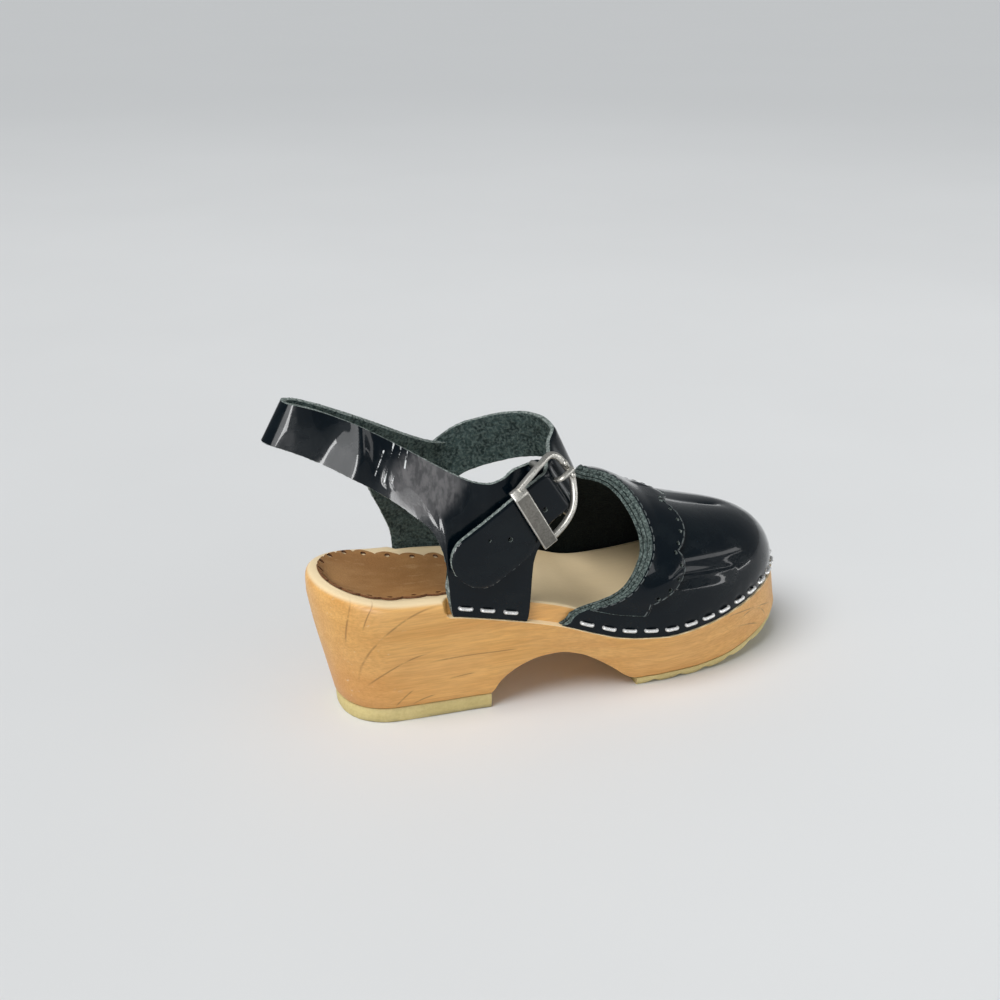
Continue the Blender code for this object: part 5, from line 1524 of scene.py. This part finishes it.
def build_stops():
    """Two knobs on the wire, on both sides of the prong's tip."""
    let_go()
    bpy.ops.mesh.primitive_uv_sphere_add(segments=16, ring_count=10, radius=KNOB_RADIUS * MM)
    knob = bpy.context.object
    give_finishes(knob, PEWTER)
    _, up, out = buckle_axes()
    stretch = Matrix.Diagonal(KNOB_STRETCH)
    places = []
    for reach in (-KNOB_REACH, KNOB_REACH):
        places.append(stand(buckle_place(KNOB_ALONG, PRONG_UP + reach, KNOB_OUT), up, out) @ stretch)
    hand_in(copies_joined("prong_stops", knob, places), angle=60.0)


def build_bar():
    path = [buckle_place(0.0, up_by, out_by) for up_by, out_by in smooth_path(BAR_ROWS, BAR_STEPS)]
    bar = lay_tube("buckle_bar", path, BAR_RADIUS, BAR_SIDES, up=buckle_axes()[0])
    give_finishes(bar, PEWTER)
    hand_in(bar, angle=50.0)


def build_plate():
    """Flat keeper over the strap's tail, with its upper end folded back."""
    let_go()
    bpy.ops.mesh.primitive_cube_add(size=1.0)
    plate = bpy.context.object
    plate.name = "keeper_plate"
    bpy.ops.object.mode_set(mode="EDIT")
    bpy.ops.mesh.select_all(action="SELECT")
    bpy.ops.mesh.bisect(plane_co=(0.0, PLATE_FOLD, 0.0), plane_no=(0.0, 1.0, 0.0))
    bpy.ops.object.mode_set(mode="OBJECT")
    for corner in plate.data.vertices:
        if corner.co.y > PLATE_FOLD + PLATE_FOLD_MARGIN:
            corner.co.z -= PLATE_FOLD_DROP
    axes = buckle_axes()
    size = Matrix.Diagonal((PLATE_WIDTH * MM, PLATE_LENGTH * MM, PLATE_THICKNESS * MM, 1.0))
    turn = Matrix(axes).transposed().to_4x4() @ Matrix.Rotation(PLATE_TILT, 4, "Z")
    centre = (buckle_place(PLATE_ALONG, PLATE_UP, PLATE_OUT) - LAST_SHIFT) * MM
    plate.data.transform(Matrix.Translation(Vector(centre)) @ turn @ size)
    give_finishes(plate, PLATE_SATIN, PEWTER)
    for face in plate.data.polygons:
        face.material_index = 0 if face.normal.dot(axes[2]) > PLATE_FACE_LEAN else 1
    ease_edges(plate, width=0.5, segments=3, angle=20.0, finish_number=1)
    hand_in(plate, angle=30.0)


def build_prong():
    wrap_radius = EYE_BORE + PRONG_RADIUS
    wrap = []
    for degrees in PRONG_WRAP:
        angle = math.radians(degrees)
        wrap.append((wrap_radius * math.cos(angle), PRONG_UP, wrap_radius * math.sin(angle)))
    tongue = smooth_path((wrap[-1][0::2],) + PRONG_ROWS, PRONG_STEPS)[1:]
    path = wrap + [(along, PRONG_UP, out) for along, out in tongue]
    radii = [PRONG_RADIUS] * len(wrap)
    radii += [PRONG_RADIUS * blend(1.0, PRONG_SWELL, k / len(tongue)) for k in range(len(tongue))]
    path = [buckle_place(*knot) for knot in path]
    prong = lay_tube("buckle_tongue", path, radii, PRONG_SIDES, up=buckle_axes()[1])
    give_finishes(prong, PEWTER)
    hand_in(prong, ["buckle_prong"], angle=50.0)


# Staples
def vamp_staple_places():
    start = station(VAMP_STAPLE_START_X)
    half = [start + (TOE_TIP - start) * k / STAPLE_EDGE_STEPS for k in range(STAPLE_EDGE_STEPS + 1)]
    loop = both_sides(half)
    points = np.array([inset_outline(u, side, VAMP_INSET) for u, side in loop])
    run = run_along(points)
    count = int(round(run[-1] / STAPLE_PITCH))
    places = []
    step = 0.01
    for k in range(count + 1):
        u, side = loop[int(np.argmin(abs(run - run[-1] * k / count)))]
        share = STAPLE_FIRST_SHARE
        while vamp_point(u, side, share)[2] < vamp_point(u, side, 0.0)[2] + STAPLE_RISE["vamp"]:
            share += STAPLE_SHARE_STEP
        along = vamp_point(min(u + step, TOE_TIP), side, share) - vamp_point(u - step, side, share)
        if u > NEAR_TIP:
            along = (0, 1, 0)
        places.append((vamp_point(u, side, share), along, vamp_normal(u, side, share)))
    return places


def tab_staple_places():
    rows = sling_path(TAB_STAPLE_STEPS)
    places = []
    for side in (OUTER, INNER):
        shift = INNER_TAB_SHIFT if side == INNER else 0.0
        tab = [row for row in rows if row[1] * side > 0 and row[2] < ledge_height(row[0]) + TAB_FOOT_BAND]
        for x in TAB_STAPLE_X:
            row = min(tab, key=lambda entry: abs(entry[0] - x - shift))
            point = sling_point(row, STAPLE_RISE["tab"] / (row[5] - row[2]))
            along = (1.0, TAB_STAPLE_LEAN * side, TAB_STAPLE_FALL)
            places.append((point, along, (0, side, TAB_STAPLE_LEAN)))
    return places


def build_staples():
    names = [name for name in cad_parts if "staple" in name]
    for label, places in (("vamp", vamp_staple_places()), ("tab", tab_staple_places())):
        rows = smooth_path(STAPLE_ROWS, 2)
        model = lay_model("staple", rows, STAPLE_RADIUS, STAPLE_SIDES, (0, 1, 0), STAPLE_FLAT)
        give_finishes(model, STAPLE_STEEL)
        lifted = []
        for point, along, out in places:
            out = np.array(out, float) / np.linalg.norm(out)
            lifted.append(stand(np.array(point) + out * (STAPLE_RADIUS * STAPLE_SEAT), along, out))
        staples = copies_joined(f"{label}_staples", model, lifted)
        hand_in(staples, [name for name in names if label in name], angle=60.0)


# Stage
def build_stage():
    let_go()
    bpy.ops.mesh.primitive_plane_add(size=FLOOR_SIZE)
    floor = bpy.context.object
    floor.name = "studio_floor"
    finish = Finish("studio_floor")
    clouds = finish.speckle((2.0, 2.0, 2.0), 0.2, 0.8)
    tone = finish.mix(clouds, FLOOR_GREY, FLOOR_PALE)
    # painted shade: the floor darkens with distance from the shoe
    reach = finish.node("ShaderNodeVectorMath", {"Vector": finish.place}, operation="LENGTH").outputs["Value"]
    tone = finish.mix(finish.spread(reach, 0.25, 2.5), tone, FLOOR_PAINTED_FALLOFF)
    give_finishes(floor, finish.wear(base_color=tone, roughness=finish.spread(clouds, 0.0, 1.0, 0.7, 0.8)))


def hang_lamp(lamp, place, aim):
    thing = bpy.data.objects.new(lamp.name, lamp)
    bpy.context.scene.collection.objects.link(thing)
    thing.location = place
    thing.rotation_euler = (Vector(aim) - Vector(place)).to_track_quat("-Z", "Y").to_euler()
    thing.visible_camera = False
    return thing


def build_lights():
    world = bpy.data.worlds.new("studio")
    bpy.context.scene.world = world
    world.use_nodes = True
    sky = world.node_tree.nodes["Background"]
    sky.inputs["Color"].default_value = SKY_COLOUR
    sky.inputs["Strength"].default_value = SKY_STRENGTH
    key = bpy.data.lights.new("key", "SUN")
    key.energy = KEY_STRENGTH
    key.angle = KEY_ANGLE
    hang_lamp(key, KEY_PLACE, SHOE_AIM).visible_glossy = False
    for name, place, aim, size, power, lights_all in PANEL_ROWS:
        panel = bpy.data.lights.new(name, "AREA")
        panel.shape = "RECTANGLE"
        panel.size, panel.size_y = size
        panel.energy = power
        hang_lamp(panel, place, aim).visible_diffuse = lights_all


def build_camera():
    view = bpy.data.cameras.new("camera")
    view.lens = CAMERA_LENS
    view.sensor_width = CAMERA_SENSOR
    thing = bpy.data.objects.new("camera", view)
    bpy.context.scene.collection.objects.link(thing)
    thing.location = (np.array(CAMERA_PLACE) - LAST_SHIFT) * MM
    thing.rotation_euler = (math.pi / 2 - CAMERA_PITCH, 0.0, -CAMERA_YAW)
    bpy.context.scene.camera = thing


build_camera()
build_sole()
build_heel_lift()
build_outsole()
build_pad()
build_vamp()
build_overlay()
build_stitches()
build_sling()
build_instep()
build_eye()
build_wire()
build_stops()
build_bar()
build_plate()
build_prong()
build_staples()
build_stage()
build_lights()
bpy.context.scene.view_settings.view_transform = "Standard"
